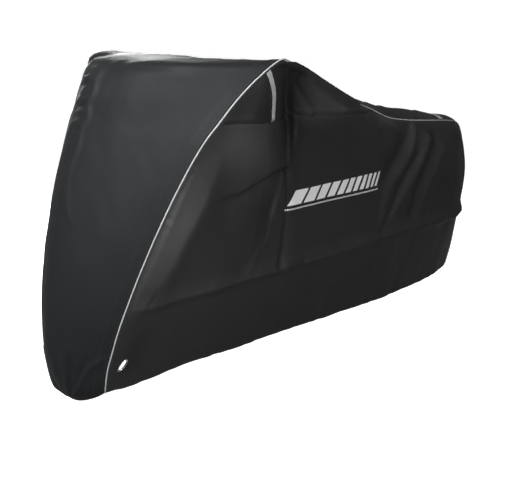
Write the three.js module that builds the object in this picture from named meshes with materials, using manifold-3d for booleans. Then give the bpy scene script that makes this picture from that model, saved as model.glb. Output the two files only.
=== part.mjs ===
// Fitted cover for a motorcycle, in the shape it takes over the machine, which is not part of it.
// Millimetres, +Z up. The front is towards -X and the left side towards -Y.
// The origin is halfway along the cover, level with its lowest hem.
// The tables give the left half. The right half is its mirror image, with folds of its own.

import * as THREE from 'three';
import { mergeVertices } from 'three/addons/utils/BufferGeometryUtils.js';
import Module from 'manifold-3d';

const wasm = await Module();
wasm.setup();

// Driving sizes
const clothThickness = 2;
const sewnGap = 0.65; // between two panels sewn edge to edge
const piping = { radius: 3, sides: 6, gap: 0.7, lift: 1.5 };
const tape = { width: 20, thickness: 0.8, gap: 0.35 };
const shoulderTapeLine = [[-494, 1048], [-462, 1005], [-440, 970], [-428, 930], [-421, 870]]; // x, z
const tailTape = { at: 750, width: 32 };
const eyelet = { hole: 17, rim: 23, barrel: 18.2, flange: 1, grip: 3, gap: 0.4, steps: 24 };
const eyeletCell = { column: 1, row: 2 }; // the skirt's cell that it is set into
const eyeletStripColumns = 3; // the skirt's front stretch that holds it is a piece of its own
// The cloth beside the ridge seam: it hangs at the tip, stands out and up over a crest behind it,
// and ends as a share of the height that is left.
const crest = { startOut: 3, startDown: 12, startLength: 0.1, out: 12, up: 8, endShare: 0.55 };
const tipSpare = 1.5; // more room beside the piping where it turns at the tip
const crownArch = 2.2; // power of the crown across the top panel

// The front panel, a row for each level: its seam with the side, its middle line, and the power
// of the arch between them, which is flat in the middle and turns near the seams where it is high.
const frontSections = [
  // name, seam x, half width, seam z, nose x, nose z, arch
  ['front hem', -899, 140, 50, -954, 0, 2.3],
  ['', -904, 153, 80, -984, 34, 2],
  ['', -905, 172, 140, -1007, 105, 1.6],
  ['', -898, 192, 200, -1014, 185, 1.6],
  ['', -888, 212, 265, -1011, 260, 1.6],
  ['front mid seam', -871, 235, 340, -1003, 340, 1.6],
  ['', -834, 272, 469, -978, 470, 1.6],
  ['', -781, 311, 614, -938, 615, 1.6],
  ['', -721, 349, 751, -888, 752, 1.6],
  ['', -676, 376, 837, -852, 840, 1.6],
  ['front upper seam', -639, 396, 890, -829, 895, 1.6],
  ['', -591, 415, 951, -806, 962, 1.65],
  ['', -552, 428, 992, -778, 1010, 1.85],
  ['', -514, 438, 1025, -742, 1042, 2.3],
  ['', -476, 447, 1053, -672, 1064, 3],
  ['tip', -438, 450, 1070, -438, 1066, 4],
];

// The top panel, a row for each place along it: its seam with the side, and its crown.
const backSections = [
  // name, seam x, half width, seam z, crown
  ['tip', -438, 450, 1070, -8],
  ['', -396, 439, 1062, -9],
  ['', -313, 412, 1040, -10],
  ['', -194, 368, 999, -8],
  ['', -47, 304, 953, 0],
  ['', 90, 243, 914, 12],
  ['', 205, 194, 883, 27],
  ['shoulder end', 285, 180, 860, 38],
  ['', 340, 180, 838, 44],
  ['', 402, 180, 818, 46],
  ['', 480, 180, 806, 46],
  ['', 580, 180, 796, 44],
  ['', 690, 180, 788, 38],
  ['', 800, 167, 778, 29],
  ['tail corner', 901, 140, 760, 28],
  ['', 954, 126, 718, 26],
  ['', 983, 120, 648, 22],
  ['', 992, 120, 560, 18],
  ['', 988, 120, 470, 16],
  ['rear mid seam', 981, 120, 388, 15],
  ['', 960, 120, 298, 12],
  ['', 936, 120, 205, 9],
  ['rear hem', 901, 120, 120, 6],
];

// The lines along the left side, from the front seam to the rear one: x, half width, z.
const upperSeamPoints = [
  [-639, 396, 890], [-519, 402, 887], [-418, 395, 882], [-236, 370, 886],
  [-29, 310, 873], [130, 255, 859], [230, 211, 852], [281, 184, 854],
];
const midSeamPoints = [
  [-871, 235, 340], [-815, 265, 343], [-744, 285, 357], [-660, 305, 365], [-560, 322, 374],
  [-400, 337, 384], [-200, 345, 391], [0, 345, 398], [200, 336, 404], [400, 316, 404],
  [590, 290, 399], [750, 250, 391], [856, 203, 387], [930, 155, 387], [981, 120, 388],
];
const hemPoints = [
  [-899, 140, 50], [-860, 137, 47], [-805, 141, 47], [-740, 160, 60], [-670, 177, 73],
  [-567, 200, 91], [-400, 221, 103], [-150, 225, 109], [100, 223, 108], [330, 215, 107], [550, 200, 112],
  [720, 180, 120], [820, 155, 123], [901, 120, 120],
];

// Outward bulge of the panels between their seams.
const bulges = [
  // fraction of the mid seam, side panel, skirt
  [0, 0, 0],
  [0.15, 8, 8],
  [0.4, 8, 10],
  [0.6, 22, 10],
  [0.8, 34, 10],
  [0.92, 30, 6],
  [1, 0, 0],
];
const bulgePeak = { side: 0.6, skirt: 0.6 };

// Folds over x and z on the sides, over y and z in front, and over x and y on top. Each runs from
// one place to another with a bow in between. A trough has a negative height.
const sideFolds = {
  left: [
    // from x, z, to x, z, bow, widths at the ends, heights at the ends
    [-422, 1055, -328, 718, -3, 24, 15, -13, -9],
    [-403, 1050, -326, 752, 22, 13, 11, 5, 5],
    [-381, 1040, -321, 742, 36, 15, 12, -7, -5],
    [-340, 1005, -233, 890, 0, 16, 16, 4, 4],
    [-310, 1000, -202, 905, 0, 16, 16, -4, -4],
    [-270, 1000, -15, 882, -13, 18, 20, 4, 4],
    [-200, 990, 80, 880, -12, 20, 24, -5, -4],
    [-492, 1015, -506, 905, 0, 20, 22, 4, 4],
    [-472, 1000, -474, 900, 0, 16, 18, -3, -4],
    [-497, 950, -775, 406, -6, 32, 32, 5, 7],
    [-640, 651, -341, 724, 0, 20, 16, -4, -7],
    [-326, 716, -350, 405, 5, 15, 16, -7, -5],
    [-333, 712, -481, 406, 10, 15, 20, 5, 4],
    [-352, 706, -440, 505, 8, 20, 20, -5, -4],
    [320, 800, 378, 776, 0, 20, 20, 5, 5],
    [474, 773, 240, 614, 0, 28, 32, -7, -5],
    [512, 775, 172, 464, 8, 22, 24, 6, 5],
    [500, 690, 175, 428, 4, 20, 20, -6, -5],
    [592, 725, 267, 488, 5, 22, 22, 6, 4],
    [552, 766, 630, 728, 8, 20, 22, -5, -5],
    [622, 730, 372, 461, 6, 25, 22, -9, -6],
    [650, 680, 450, 478, 0, 24, 22, 5, 3],
    [790, 690, 750, 520, 0, 28, 28, -4, -4],
    [-826, 125, -812, 215, 0, 42, 40, -14, -9],
    [-275, 384, -225, 392, 0, 16, 16, -4, -4],
  ],
  right: [
    [-430, 1050, -352, 690, 6, 26, 16, -12, -8],
    [-404, 1046, -345, 735, -14, 14, 12, 5, 4],
    [-368, 1030, -300, 730, 26, 16, 12, -6, -5],
    [-330, 1000, -210, 888, 4, 17, 17, 4, 4],
    [-262, 992, -60, 890, -12, 20, 22, -5, -4],
    [-500, 1000, -512, 905, 0, 20, 22, 4, 3],
    [-505, 940, -780, 400, -4, 32, 32, 5, 6],
    [-600, 690, -352, 694, -14, 18, 16, -4, -6],
    [-352, 690, -372, 405, 8, 18, 20, -6, -4],
    [-366, 690, -520, 410, 12, 18, 22, 5, 3],
    [440, 770, 250, 560, 8, 28, 32, -6, -4],
    [480, 768, 215, 470, 10, 23, 24, 6, 4],
    [540, 740, 250, 440, -8, 22, 22, -7, -5],
    [600, 720, 330, 480, 6, 24, 24, 5, 3],
    [650, 735, 440, 450, -8, 24, 22, -8, -5],
    [770, 700, 740, 520, 0, 28, 28, -4, -3],
    [-826, 125, -812, 215, 0, 42, 40, -14, -9],
  ],
};
const frontFolds = [
  // from y, z, to y, z, bow, widths at the ends, heights at the ends
  [0, 1040, 0, 690, 8, 20, 26, 6, 5],
  [0, 690, -50, 590, 0, 24, 20, 3, 2],
  [-50, 172, -60, 20, 6, 14, 12, 3, 5],
  [-163, 171, -68, 30, -24, 13, 12, 3, 5],
  [70, 165, 52, 20, 6, 14, 12, 3, 5],
  [150, 180, 74, 30, 20, 13, 12, 3, 4],
  [0, 150, 0, 15, 0, 14, 14, -3, -5],
  [90, 1067, 330, 1068, 0, 90, 80, 8, 6],
  [-330, 1000, -150, 720, -20, 60, 70, -4, -2],
  [320, 1005, 160, 700, 24, 60, 70, -4, -2],
  [-160, 560, -120, 300, 0, 60, 50, 3, 2],
];
const topFolds = [
  // from x, y, to x, y, bow, widths at the ends, heights at the ends
  [392, -84, 537, -160, 0, 20, 18, -4, -4],
  [440, -70, 572, -168, 0, 20, 18, 4, 4],
  [575, -60, 640, -150, 0, 20, 18, -4, -4],
  [420, 90, 560, 150, 0, 20, 20, -4, -3],
  [600, 30, 660, 120, 0, 22, 20, 3, 3],
  [-350, 60, -60, 110, 20, 46, 40, -6, -5],
  [-330, -90, -40, -100, -20, 46, 40, -6, -5],
  [-300, 0, 60, 10, 0, 40, 36, 4, 4],
];
const foldFade = [4, 26]; // distances from the piping over which the folds begin
const seamFlare = { out: 5, above: 30, below: 16 }; // the middle seams stand out a little

// How finely each stretch is cut into cells.
const shoulderColumns = spread([[1, 0.023], [1, 0.073], [3, 0.2], [9, 0.42], [11, 1]]);
const ridgeFan = { power: 2.2, even: 0.45 }; // the shoulder's cells are narrower at the tip
const seatColumns = spread([[17, 1]]);
const skirtRows = [0, 0.1, 0.21, 0.4, 0.6, 0.8, 0.94, 1];
const sideRows = [0, 0.05, 0.12, 0.21, 0.31, 0.41, 0.51, 0.61, 0.71, 0.81, 0.91, 1];
const shoulderRows = [0, 0.28, 0.56, 0.8, 1]; // up to the crest, with one more row to the seam
const shoulderReach = 0.86; // how far up the front seam the crest starts
const acrossFront = spread([[20, 2]]).map((fraction) => fraction - 1);
const acrossTop = spread([[10, 2]]).map((fraction) => fraction - 1);
const joinFraction = 0.6; // how far along the mid seam the upper seam ends

// Fractions from 0, in stretches of so many cells up to so far.
function spread(stretches) {
  const fractions = [0];
  for (const [cells, end] of stretches) {
    const start = fractions[fractions.length - 1];
    for (let cell = 1; cell <= cells; cell++) fractions.push(start + (end - start) * (cell / cells));
  }
  return fractions;
}

// A smooth line through a table's points. Its knots are the rows, counted from 0.
class Line {
  constructor(points) {
    this.last = points.length - 1;
    this.curve = new THREE.CatmullRomCurve3(points, false, 'catmullrom', 0.5);
  }

  at(knot) {
    return this.curve.getPoint(THREE.MathUtils.clamp(knot / this.last, 0, 1));
  }

  // The knots that lie at the given fractions of the length between two knots.
  knots(fractions, from = 0, to = this.last) {
    const steps = 240;
    const lengths = [0];
    let previous = this.at(from);
    for (let step = 1; step <= steps; step++) {
      const point = this.at(from + (to - from) * (step / steps));
      lengths.push(lengths[step - 1] + point.distanceTo(previous));
      previous = point;
    }
    return fractions.map((fraction) => {
      const target = fraction * lengths[steps];
      let step = 1;
      while (step < steps && lengths[step] < target) step++;
      const part = (target - lengths[step - 1]) / (lengths[step] - lengths[step - 1]);
      return from + (to - from) * ((step - 1 + part) / steps);
    });
  }

  points(fractions, from, to) {
    return this.knots(fractions, from, to).map((knot) => this.at(knot));
  }
}

function leftPoint(x, halfWidth, z) {
  return new THREE.Vector3(x, -halfWidth, z);
}

const longSeamRows = [...frontSections, ...backSections.slice(1)];
const longSeam = new Line(longSeamRows.map(([, x, halfWidth, z]) => leftPoint(x, halfWidth, z)));
const noseLine = new Line(frontSections.map(([, , , , x, z]) => new THREE.Vector3(x, 0, z)));
const archLine = new Line(frontSections.map((row) => new THREE.Vector3(row[6], 0, 0)));
const crownLine = new Line(backSections.map(([, , , , rise]) => new THREE.Vector3(rise, 0, 0)));
const upperSeam = new Line(upperSeamPoints.map((row) => leftPoint(...row)));
const midSeam = new Line(midSeamPoints.map((row) => leftPoint(...row)));
const hem = new Line(hemPoints.map((row) => leftPoint(...row)));

function seamKnot(name) {
  return longSeamRows.findIndex((row) => row[0] === name);
}

function seamKnots(fractions, from, to) {
  return longSeam.knots(fractions, seamKnot(from), seamKnot(to));
}

function seamPoints(fractions, from, to) {
  return seamKnots(fractions, from, to).map((knot) => longSeam.at(knot));
}

// A smooth rise from 0 to 1 and back to 0, highest at the peak.
function hump(fraction, peak) {
  const part = fraction < peak ? fraction / peak : (1 - fraction) / (1 - peak);
  return Math.sin((Math.PI / 2) * THREE.MathUtils.clamp(part, 0, 1));
}

// A value read from a table's column between its rows, smoothly.
function fromTable(table, fraction, column) {
  let row = 1;
  while (row < table.length - 1 && table[row][0] < fraction) row++;
  const [low, high] = [table[row - 1], table[row]];
  const part = THREE.MathUtils.smoothstep(fraction, low[0], high[0]);
  return THREE.MathUtils.lerp(low[column], high[column], part);
}

// The front panel's middle surface: an arch at each level from the nose line to both seams.
function frontPoint(knot, across) {
  const seam = longSeam.at(knot);
  const nose = noseLine.at(knot);
  const reach = Math.abs(across) ** archLine.at(knot).x;
  const x = THREE.MathUtils.lerp(nose.x, seam.x, reach);
  const z = THREE.MathUtils.lerp(nose.z, seam.z, reach);
  return new THREE.Vector3(x, -seam.y * across, z);
}

// The top panel's middle surface: crowned upwards on the seat and backwards behind the tail.
function topPoint(knot, across) {
  const seam = longSeam.at(knot);
  const step = 0.05;
  const along = longSeam.at(knot + step).sub(longSeam.at(knot - step));
  const up = new THREE.Vector3(-along.z, 0, along.x).normalize();
  const rise = crownLine.at(knot - seamKnot('tip')).x * (1 - Math.abs(across) ** crownArch);
  return new THREE.Vector3(seam.x, -seam.y * across, seam.z).addScaledVector(up, rise);
}

// A smooth patch between four edges, given at the fractions along and up.
function patch(bottom, top, start, end, along, up) {
  const lastColumn = along.length - 1;
  return up.map((v, row) => along.map((u, column) => {
    const point = new THREE.Vector3();
    point.addScaledVector(bottom[column], 1 - v);
    point.addScaledVector(top[column], v);
    point.addScaledVector(start[row], 1 - u);
    point.addScaledVector(end[row], u);
    point.addScaledVector(bottom[0], -(1 - u) * (1 - v));
    point.addScaledVector(bottom[lastColumn], -u * (1 - v));
    point.addScaledVector(top[0], -(1 - u) * v);
    point.addScaledVector(top[lastColumn], -u * v);
    return point;
  }));
}

// Outward normals of a surface given as rows of points. The sense is -1 where the rows run
// from the outside's left to its right and are counted downwards, and 1 otherwise.
function surfaceNormals(rows, sense) {
  const lastRow = rows.length - 1;
  return rows.map((row, r) => row.map((point, c) => {
    const along = row[Math.min(c + 1, row.length - 1)].clone().sub(row[Math.max(c - 1, 0)]);
    const up = rows[Math.min(r + 1, lastRow)][c].clone().sub(rows[Math.max(r - 1, 0)][c]);
    return along.cross(up).normalize().multiplyScalar(sense);
  }));
}

function surface(rows, sense) {
  return { rows, sense, normals: surfaceNormals(rows, sense) };
}

// Moves a surface along its normals by a height worked out for each point.
function displaced(base, heightAt) {
  const rows = base.rows.map((row, r) => row.map((point, c) => (
    point.clone().addScaledVector(base.normals[r][c], heightAt(point, r, c))
  )));
  return surface(rows, base.sense);
}

// The left side: shoulder, side panel and skirt, which share the stations on their seams.
const sideColumns = [
  ...shoulderColumns.map((fraction) => fraction * joinFraction),
  ...seatColumns.slice(1).map((fraction) => joinFraction + (1 - joinFraction) * fraction),
];
const joinColumn = shoulderColumns.length - 1;
const lastColumn = sideColumns.length - 1;

const upperSeamStations = upperSeam.points(shoulderColumns);
const midSeamStations = midSeam.points(sideColumns);
const ridgeColumns = shoulderColumns.map((fraction) => (
  THREE.MathUtils.lerp(fraction ** ridgeFan.power, fraction, ridgeFan.even)
));
const ridgeStations = seamPoints(ridgeColumns, 'tip', 'shoulder end');
const seatStations = seamPoints(seatColumns, 'shoulder end', 'tail corner');
const crestStations = ridgeStations.map((point, column) => {
  const fraction = ridgeColumns[column];
  const start = new THREE.Vector3(0, -crest.startOut, -crest.startDown);
  const full = new THREE.Vector3(0, -crest.out, crest.up);
  const rise = start.lerp(full, THREE.MathUtils.smoothstep(fraction, 0, crest.startLength));
  const taper = THREE.MathUtils.smoothstep(1 - fraction, 0, 0.25);
  const below = fraction > 0.5 ? crest.endShare * (1 - taper) : 0;
  return point.clone().lerp(upperSeamStations[column], below).addScaledVector(rise, taper);
});

function skirtBase() {
  const front = seamPoints(skirtRows, 'front hem', 'front mid seam');
  const rear = seamPoints(skirtRows, 'rear hem', 'rear mid seam');
  const rows = patch(hem.points(sideColumns), midSeamStations, front, rear, sideColumns, skirtRows);
  return displaced(surface(rows, 1), (point, r, c) => (
    fromTable(bulges, sideColumns[c], 2) * hump(skirtRows[r], bulgePeak.skirt)
  ));
}

function sideBase() {
  const front = seamPoints(sideRows, 'front mid seam', 'front upper seam');
  const rear = seamPoints(sideRows, 'rear mid seam', 'tail corner');
  const top = [...upperSeamStations, ...seatStations.slice(1)];
  const rows = patch(midSeamStations, top, front, rear, sideColumns, sideRows);
  return displaced(surface(rows, 1), (point, r, c) => (
    fromTable(bulges, sideColumns[c], 1) * hump(sideRows[r], bulgePeak.side)
  ));
}

function shoulderBase() {
  const upTheFront = shoulderRows.map((fraction) => fraction * shoulderReach);
  const front = seamPoints(upTheFront, 'front upper seam', 'tip');
  const top = [front[front.length - 1], ...crestStations.slice(1)];
  const [endLow, endHigh] = [upperSeamStations[joinColumn], top[joinColumn]];
  const rear = shoulderRows.map((fraction) => endLow.clone().lerp(endHigh, fraction));
  const rows = patch(upperSeamStations, top, front, rear, shoulderColumns, shoulderRows);
  return surface([...rows, ridgeStations], 1);
}

// The stations of the long seam, from the front hem over the tip to the rear hem.
const frontSeamKnots = [
  ...seamKnots(skirtRows, 'front hem', 'front mid seam'),
  ...seamKnots(sideRows, 'front mid seam', 'front upper seam').slice(1),
  ...seamKnots([...shoulderRows.map((row) => row * shoulderReach), 1], 'front upper seam', 'tip')
    .slice(1),
];
const topSeamKnots = [
  ...seamKnots(ridgeColumns, 'tip', 'shoulder end'),
  ...seamKnots(seatColumns, 'shoulder end', 'tail corner').slice(1),
  ...seamKnots(fromTheTop(sideRows), 'tail corner', 'rear mid seam').slice(1),
  ...seamKnots(fromTheTop(skirtRows), 'rear mid seam', 'rear hem').slice(1),
];
const pipingKnots = [...frontSeamKnots, ...topSeamKnots.slice(1)];
const pipingStations = pipingKnots.map((knot) => longSeam.at(knot));

// The same rows counted downwards.
function fromTheTop(rows) {
  return rows.map((fraction) => 1 - fraction).reverse();
}

// How far a place is from the nearest piping, taken on the left half.
function pipingDistance(point) {
  const place = leftPoint(point.x, Math.abs(point.y), point.z);
  const nearest = new THREE.Vector3();
  let distance = Infinity;
  for (let station = 1; station < pipingStations.length; station++) {
    const stretch = new THREE.Line3(pipingStations[station - 1], pipingStations[station]);
    stretch.closestPointToPoint(place, true, nearest);
    distance = Math.min(distance, nearest.distanceTo(place));
  }
  return distance;
}

// The height of a table of folds at one place, given in the two directions of the table.
function foldHeight(folds, u, v) {
  let height = 0;
  for (const [u0, v0, u1, v1, bow, startWidth, endWidth, startHeight, endHeight] of folds) {
    const [du, dv] = [u1 - u0, v1 - v0];
    const length = Math.hypot(du, dv);
    const along = ((u - u0) * du + (v - v0) * dv) / length ** 2;
    const part = THREE.MathUtils.clamp(along, 0, 1);
    const bent = 4 * bow * part * (1 - part);
    const sideways = ((v - v0) * du - (u - u0) * dv) / length - bent;
    const distance = Math.hypot(sideways, (along - part) * length);
    const width = THREE.MathUtils.lerp(startWidth, endWidth, part);
    const peak = THREE.MathUtils.lerp(startHeight, endHeight, part);
    height += peak * Math.exp(-((distance / width) ** 2));
  }
  return height;
}

function fade(point) {
  return THREE.MathUtils.smoothstep(pipingDistance(point), ...foldFade);
}

function mirrored(rows) {
  return rows.map((row) => row.map((point) => new THREE.Vector3(point.x, -point.y, point.z)));
}

// Gives the points along an edge that two panels share the mean of their two normals.
function shareNormals(one, oneEdge, other, otherEdge) {
  oneEdge.forEach(([r, c], index) => {
    const [otherRow, otherColumn] = otherEdge[index];
    const mean = one.normals[r][c].clone().add(other.normals[otherRow][otherColumn]).normalize();
    one.normals[r][c].copy(mean);
    other.normals[otherRow][otherColumn].copy(mean);
  });
}

function rowEdge(row, columns) {
  return Array.from({ length: columns }, (_, column) => [row, column]);
}

const skirtTop = rowEdge(skirtRows.length - 1, sideColumns.length);
const sideBottom = rowEdge(0, sideColumns.length);
const sideTop = rowEdge(sideRows.length - 1, joinColumn + 1);
const shoulderBottom = rowEdge(0, joinColumn + 1);

function shareSideNormals({ skirt, side, shoulder }) {
  shareNormals(skirt, skirtTop, side, sideBottom);
  shareNormals(side, sideTop, shoulder, shoulderBottom);
}

// Moves the corners of a cell along its normal until the cell is flat.
function flattenCell(rows, { row, column }) {
  const corners = [[0, 0], [0, 1], [1, 1], [1, 0]].map(([r, c]) => rows[row + r][column + c]);
  const half = corners[0].clone().add(corners[2]).sub(corners[1]).sub(corners[3]).divideScalar(4);
  corners.forEach((corner, index) => corner.addScaledVector(half, index % 2 === 0 ? -1 : 1));
}

// The three panels of one side, folded. They agree along the seams between them.
function sidePanels(sense, folds) {
  const turned = (base) => surface(sense === 1 ? base.rows : mirrored(base.rows), sense);
  const panels = {
    skirt: turned(skirtBase()),
    side: turned(sideBase()),
    shoulder: turned(shoulderBase()),
  };
  shareSideNormals(panels);
  const folded = (panel, offSeam) => displaced(panel, (point, r, c) => {
    const away = offSeam ? offSeam(panel.rows, r, c) : Infinity;
    const flare = seamFlare.out * Math.exp(-(away ** 2));
    return (foldHeight(folds, point.x, point.z) + flare) * fade(point);
  });
  const skirt = folded(panels.skirt, (rows, r, c) => (
    rows[r][c].distanceTo(rows[rows.length - 1][c]) / seamFlare.below
  ));
  const side = folded(panels.side, (rows, r, c) => (
    rows[r][c].distanceTo(rows[0][c]) / seamFlare.above
  ));
  const shoulder = folded(panels.shoulder);
  flattenCell(skirt.rows, eyeletCell);
  const result = {
    skirt: surface(skirt.rows, sense),
    side: surface(side.rows, sense),
    shoulder: surface(shoulder.rows, sense),
  };
  shareSideNormals(result);
  smoothTip(result.shoulder);
  return result;
}

// The shoulder's corner at the tip is nearly straight, so its normal comes from its neighbours.
function smoothTip({ normals }) {
  const last = normals.length - 1;
  const around = [normals[last - 1][0], normals[last - 1][1], normals[last][1]];
  const [corner] = normals[last];
  corner.set(0, 0, 0);
  around.forEach((normal) => corner.add(normal));
  corner.normalize();
}

// Puts every second point of the front's last row halfway between the points of the top's first
// row, which is coarser, and the other ones on those points.
function joinFrontToTop(front, top) {
  const frontRow = front.rows.length - 1;
  front.rows[frontRow].forEach((point, c) => {
    const [low, high] = [Math.floor(c / 2), Math.ceil(c / 2)];
    point.lerpVectors(top.rows[0][low], top.rows[0][high], (c % 2) / 2);
  });
  const frontEdge = acrossTop.map((_, c) => [frontRow, 2 * c]);
  shareNormals(front, frontEdge, top, rowEdge(0, acrossTop.length));
  front.normals[frontRow].forEach((normal, c) => {
    if (c % 2 === 0) return;
    const [before, after] = [c - 1, c + 1].map((near) => front.normals[frontRow][near]);
    normal.addVectors(before, after).normalize();
  });
}

// The front and top panels, folded. Their joint goes by the front's folds.
function middlePanels() {
  const rowsAt = (knots, across, pointAt) => knots.map((knot) => across.map((s) => pointAt(knot, s)));
  const front = surface(rowsAt(frontSeamKnots, acrossFront, frontPoint), -1);
  const top = surface(rowsAt(topSeamKnots, acrossTop, topPoint), -1);
  joinFrontToTop(front, top);
  const frontFold = (point) => foldHeight(frontFolds, point.y, point.z) * fade(point);
  const topFold = (point) => foldHeight(topFolds, point.x, point.y) * fade(point);
  const folded = {
    front: displaced(front, frontFold),
    top: displaced(top, (point, r) => (r === 0 ? frontFold(point) : topFold(point))),
  };
  joinFrontToTop(folded.front, folded.top);
  return folded;
}

// A stretch of a panel between two of its columns.
function stretchOf({ rows, normals, sense }, from, to) {
  const cut = (list) => list.map((row) => row.slice(from, to + 1));
  return { rows: cut(rows), normals: cut(normals), sense };
}

// Draws in the edges of a panel. Each inset is one number or a function of the place along it.
// The ends of its first and last rows stay in line with those rows, except at a tip, where the
// first column runs on smoothly into the last row.
function trimmed(panel, { first = 0, last = 0, start = 0, end = 0, tip = false }) {
  const { rows } = panel;
  const [lastRow, lastColumn] = [rows.length - 1, rows[0].length - 1];
  const amount = (inset, index) => (typeof inset === 'function' ? inset(index) : inset);
  const inwards = (point, inner, before, after, inset, slide) => {
    const along = after.clone().sub(before).normalize();
    const inward = inner.clone().sub(point).normalize();
    const square = inward.clone().addScaledVector(along, -inward.dot(along));
    if (slide) return inward.multiplyScalar(inset / square.length());
    return square.normalize().multiplyScalar(inset);
  };
  const beside = (list, index) => [
    list[Math.max(index - 1, 0)], list[Math.min(index + 1, list.length - 1)],
  ];
  const cut = rows.map((row, r) => row.map((point, c) => {
    const moved = point.clone();
    if (tip && r === lastRow && c === 0) {
      return moved.add(inwards(point, rows[r - 1][1], rows[r - 1][0], row[1], start + tipSpare));
    }
    const column = rows.map((other) => other[c]);
    const corner = r === 0 || r === lastRow;
    const inset = { first: amount(first, c), last: amount(last, c), start, end };
    if (r === 0) moved.add(inwards(point, rows[1][c], ...beside(row, c), inset.first));
    if (r === lastRow) moved.add(inwards(point, rows[r - 1][c], ...beside(row, c), inset.last));
    if (c === 0) moved.add(inwards(point, row[1], ...beside(column, r), inset.start, corner));
    if (c === lastColumn) {
      moved.add(inwards(point, row[c - 1], ...beside(column, r), inset.end, corner));
    }
    return moved;
  }));
  return { rows: cut, sense: panel.sense, normals: panel.normals };
}

// A closed sheet between two distances from a surface, measured along its normals. Each cell is
// split along its shorter diagonal.
function sheet({ rows, normals, sense }, low, high) {
  const [rowCount, columnCount] = [rows.length, rows[0].length];
  const layerSize = rowCount * columnCount;
  const positions = [];
  for (const distance of [high, low]) {
    rows.forEach((row, r) => row.forEach((point, c) => {
      const { x, y, z } = point.clone().addScaledVector(normals[r][c], distance);
      positions.push(x, y, z);
    }));
  }
  const faces = [];
  const quad = (a, b, c, d) => {
    if (sense === 1) faces.push(a, b, c, a, c, d);
    else faces.push(a, c, b, a, d, c);
  };
  const at = (r, c, layer) => layer * layerSize + r * columnCount + c;
  for (let r = 0; r < rowCount - 1; r++) {
    for (let c = 0; c < columnCount - 1; c++) {
      const outer = [at(r, c, 0), at(r, c + 1, 0), at(r + 1, c + 1, 0), at(r + 1, c, 0)];
      const inner = outer.map((index) => index + layerSize);
      const rising = rows[r][c].distanceTo(rows[r + 1][c + 1]);
      const turn = rising > rows[r][c + 1].distanceTo(rows[r + 1][c]) ? 1 : 0;
      const [a, b, d, e] = [0, 1, 2, 3].map((corner) => (corner + turn) % 4);
      quad(outer[a], outer[b], outer[d], outer[e]);
      quad(inner[a], inner[e], inner[d], inner[b]);
    }
  }
  for (let c = 0; c < columnCount - 1; c++) {
    const top = rowCount - 1;
    quad(at(0, c, 1), at(0, c + 1, 1), at(0, c + 1, 0), at(0, c, 0));
    quad(at(top, c, 0), at(top, c + 1, 0), at(top, c + 1, 1), at(top, c, 1));
  }
  for (let r = 0; r < rowCount - 1; r++) {
    const end = columnCount - 1;
    quad(at(r, 0, 0), at(r + 1, 0, 0), at(r + 1, 0, 1), at(r, 0, 1));
    quad(at(r, end, 1), at(r + 1, end, 1), at(r + 1, end, 0), at(r, end, 0));
  }
  return indexed(positions, faces);
}

function indexed(positions, faces) {
  const geometry = new THREE.BufferGeometry();
  geometry.setAttribute('position', new THREE.Float32BufferAttribute(positions, 3));
  geometry.setIndex(faces);
  return geometry;
}

// A cord through its stations, with rings that stand square to it and start at its normals.
function cord(stations, normals) {
  const { sides, radius } = piping;
  const [positions, faces] = [[], []];
  stations.forEach((station, index) => {
    const before = stations[Math.max(index - 1, 0)];
    const after = stations[Math.min(index + 1, stations.length - 1)];
    const along = after.clone().sub(before).normalize();
    const across = along.clone().cross(normals[index]).normalize();
    const outward = across.clone().cross(along);
    for (let side = 0; side < sides; side++) {
      const angle = (2 * Math.PI * side) / sides;
      const point = station.clone();
      point.addScaledVector(outward, radius * Math.cos(angle));
      point.addScaledVector(across, radius * Math.sin(angle));
      positions.push(point.x, point.y, point.z);
    }
  });
  for (let ring = 0; ring < stations.length - 1; ring++) {
    for (let side = 0; side < sides; side++) {
      const next = (side + 1) % sides;
      const [a, b] = [ring * sides + side, ring * sides + next];
      faces.push(a, b + sides, a + sides, a, b, b + sides);
    }
  }
  const lastRing = (stations.length - 1) * sides;
  for (let side = 1; side < sides - 1; side++) {
    faces.push(0, side + 1, side);
    faces.push(lastRing, lastRing + side, lastRing + side + 1);
  }
  return indexed(positions, faces);
}

// Joining and cutting
function toSolid(geometry) {
  const bare = new THREE.BufferGeometry();
  bare.setAttribute('position', geometry.getAttribute('position'));
  bare.setIndex(geometry.getIndex());
  const merged = mergeVertices(bare, 1e-4);
  const mesh = new wasm.Mesh({
    numProp: 3,
    vertProperties: new Float32Array(merged.getAttribute('position').array),
    triVerts: new Uint32Array(merged.getIndex().array),
  });
  return new wasm.Manifold(mesh);
}

function toGeometry(solid) {
  const mesh = solid.getMesh();
  return indexed(Array.from(mesh.vertProperties), Array.from(mesh.triVerts));
}

const common = (one, other) => toGeometry(toSolid(one).intersect(toSolid(other)));
const without = (one, other) => toGeometry(toSolid(one).subtract(toSolid(other)));

// An upright block over an outline in x and z, on one side of the cover.
function sideBlock(outline, sense) {
  const shape = new THREE.Shape(outline.map(([x, z]) => new THREE.Vector2(x, z)));
  const block = new THREE.ExtrudeGeometry(shape, { depth: 600, bevelEnabled: false });
  block.rotateX(Math.PI / 2);
  if (sense === -1) block.translate(0, 600, 0);
  return block;
}

// The outline of a band of one width along a line in x and z.
function bandOutline(line, width) {
  const points = line.map(([x, z]) => new THREE.Vector2(x, z));
  const edge = (offset) => points.map((point, index) => {
    const before = points[Math.max(index - 1, 0)];
    const after = points[Math.min(index + 1, points.length - 1)];
    const along = after.clone().sub(before).normalize();
    return [point.x - along.y * offset, point.y + along.x * offset];
  });
  return [...edge(width / 2), ...edge(-width / 2).reverse()];
}

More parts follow.
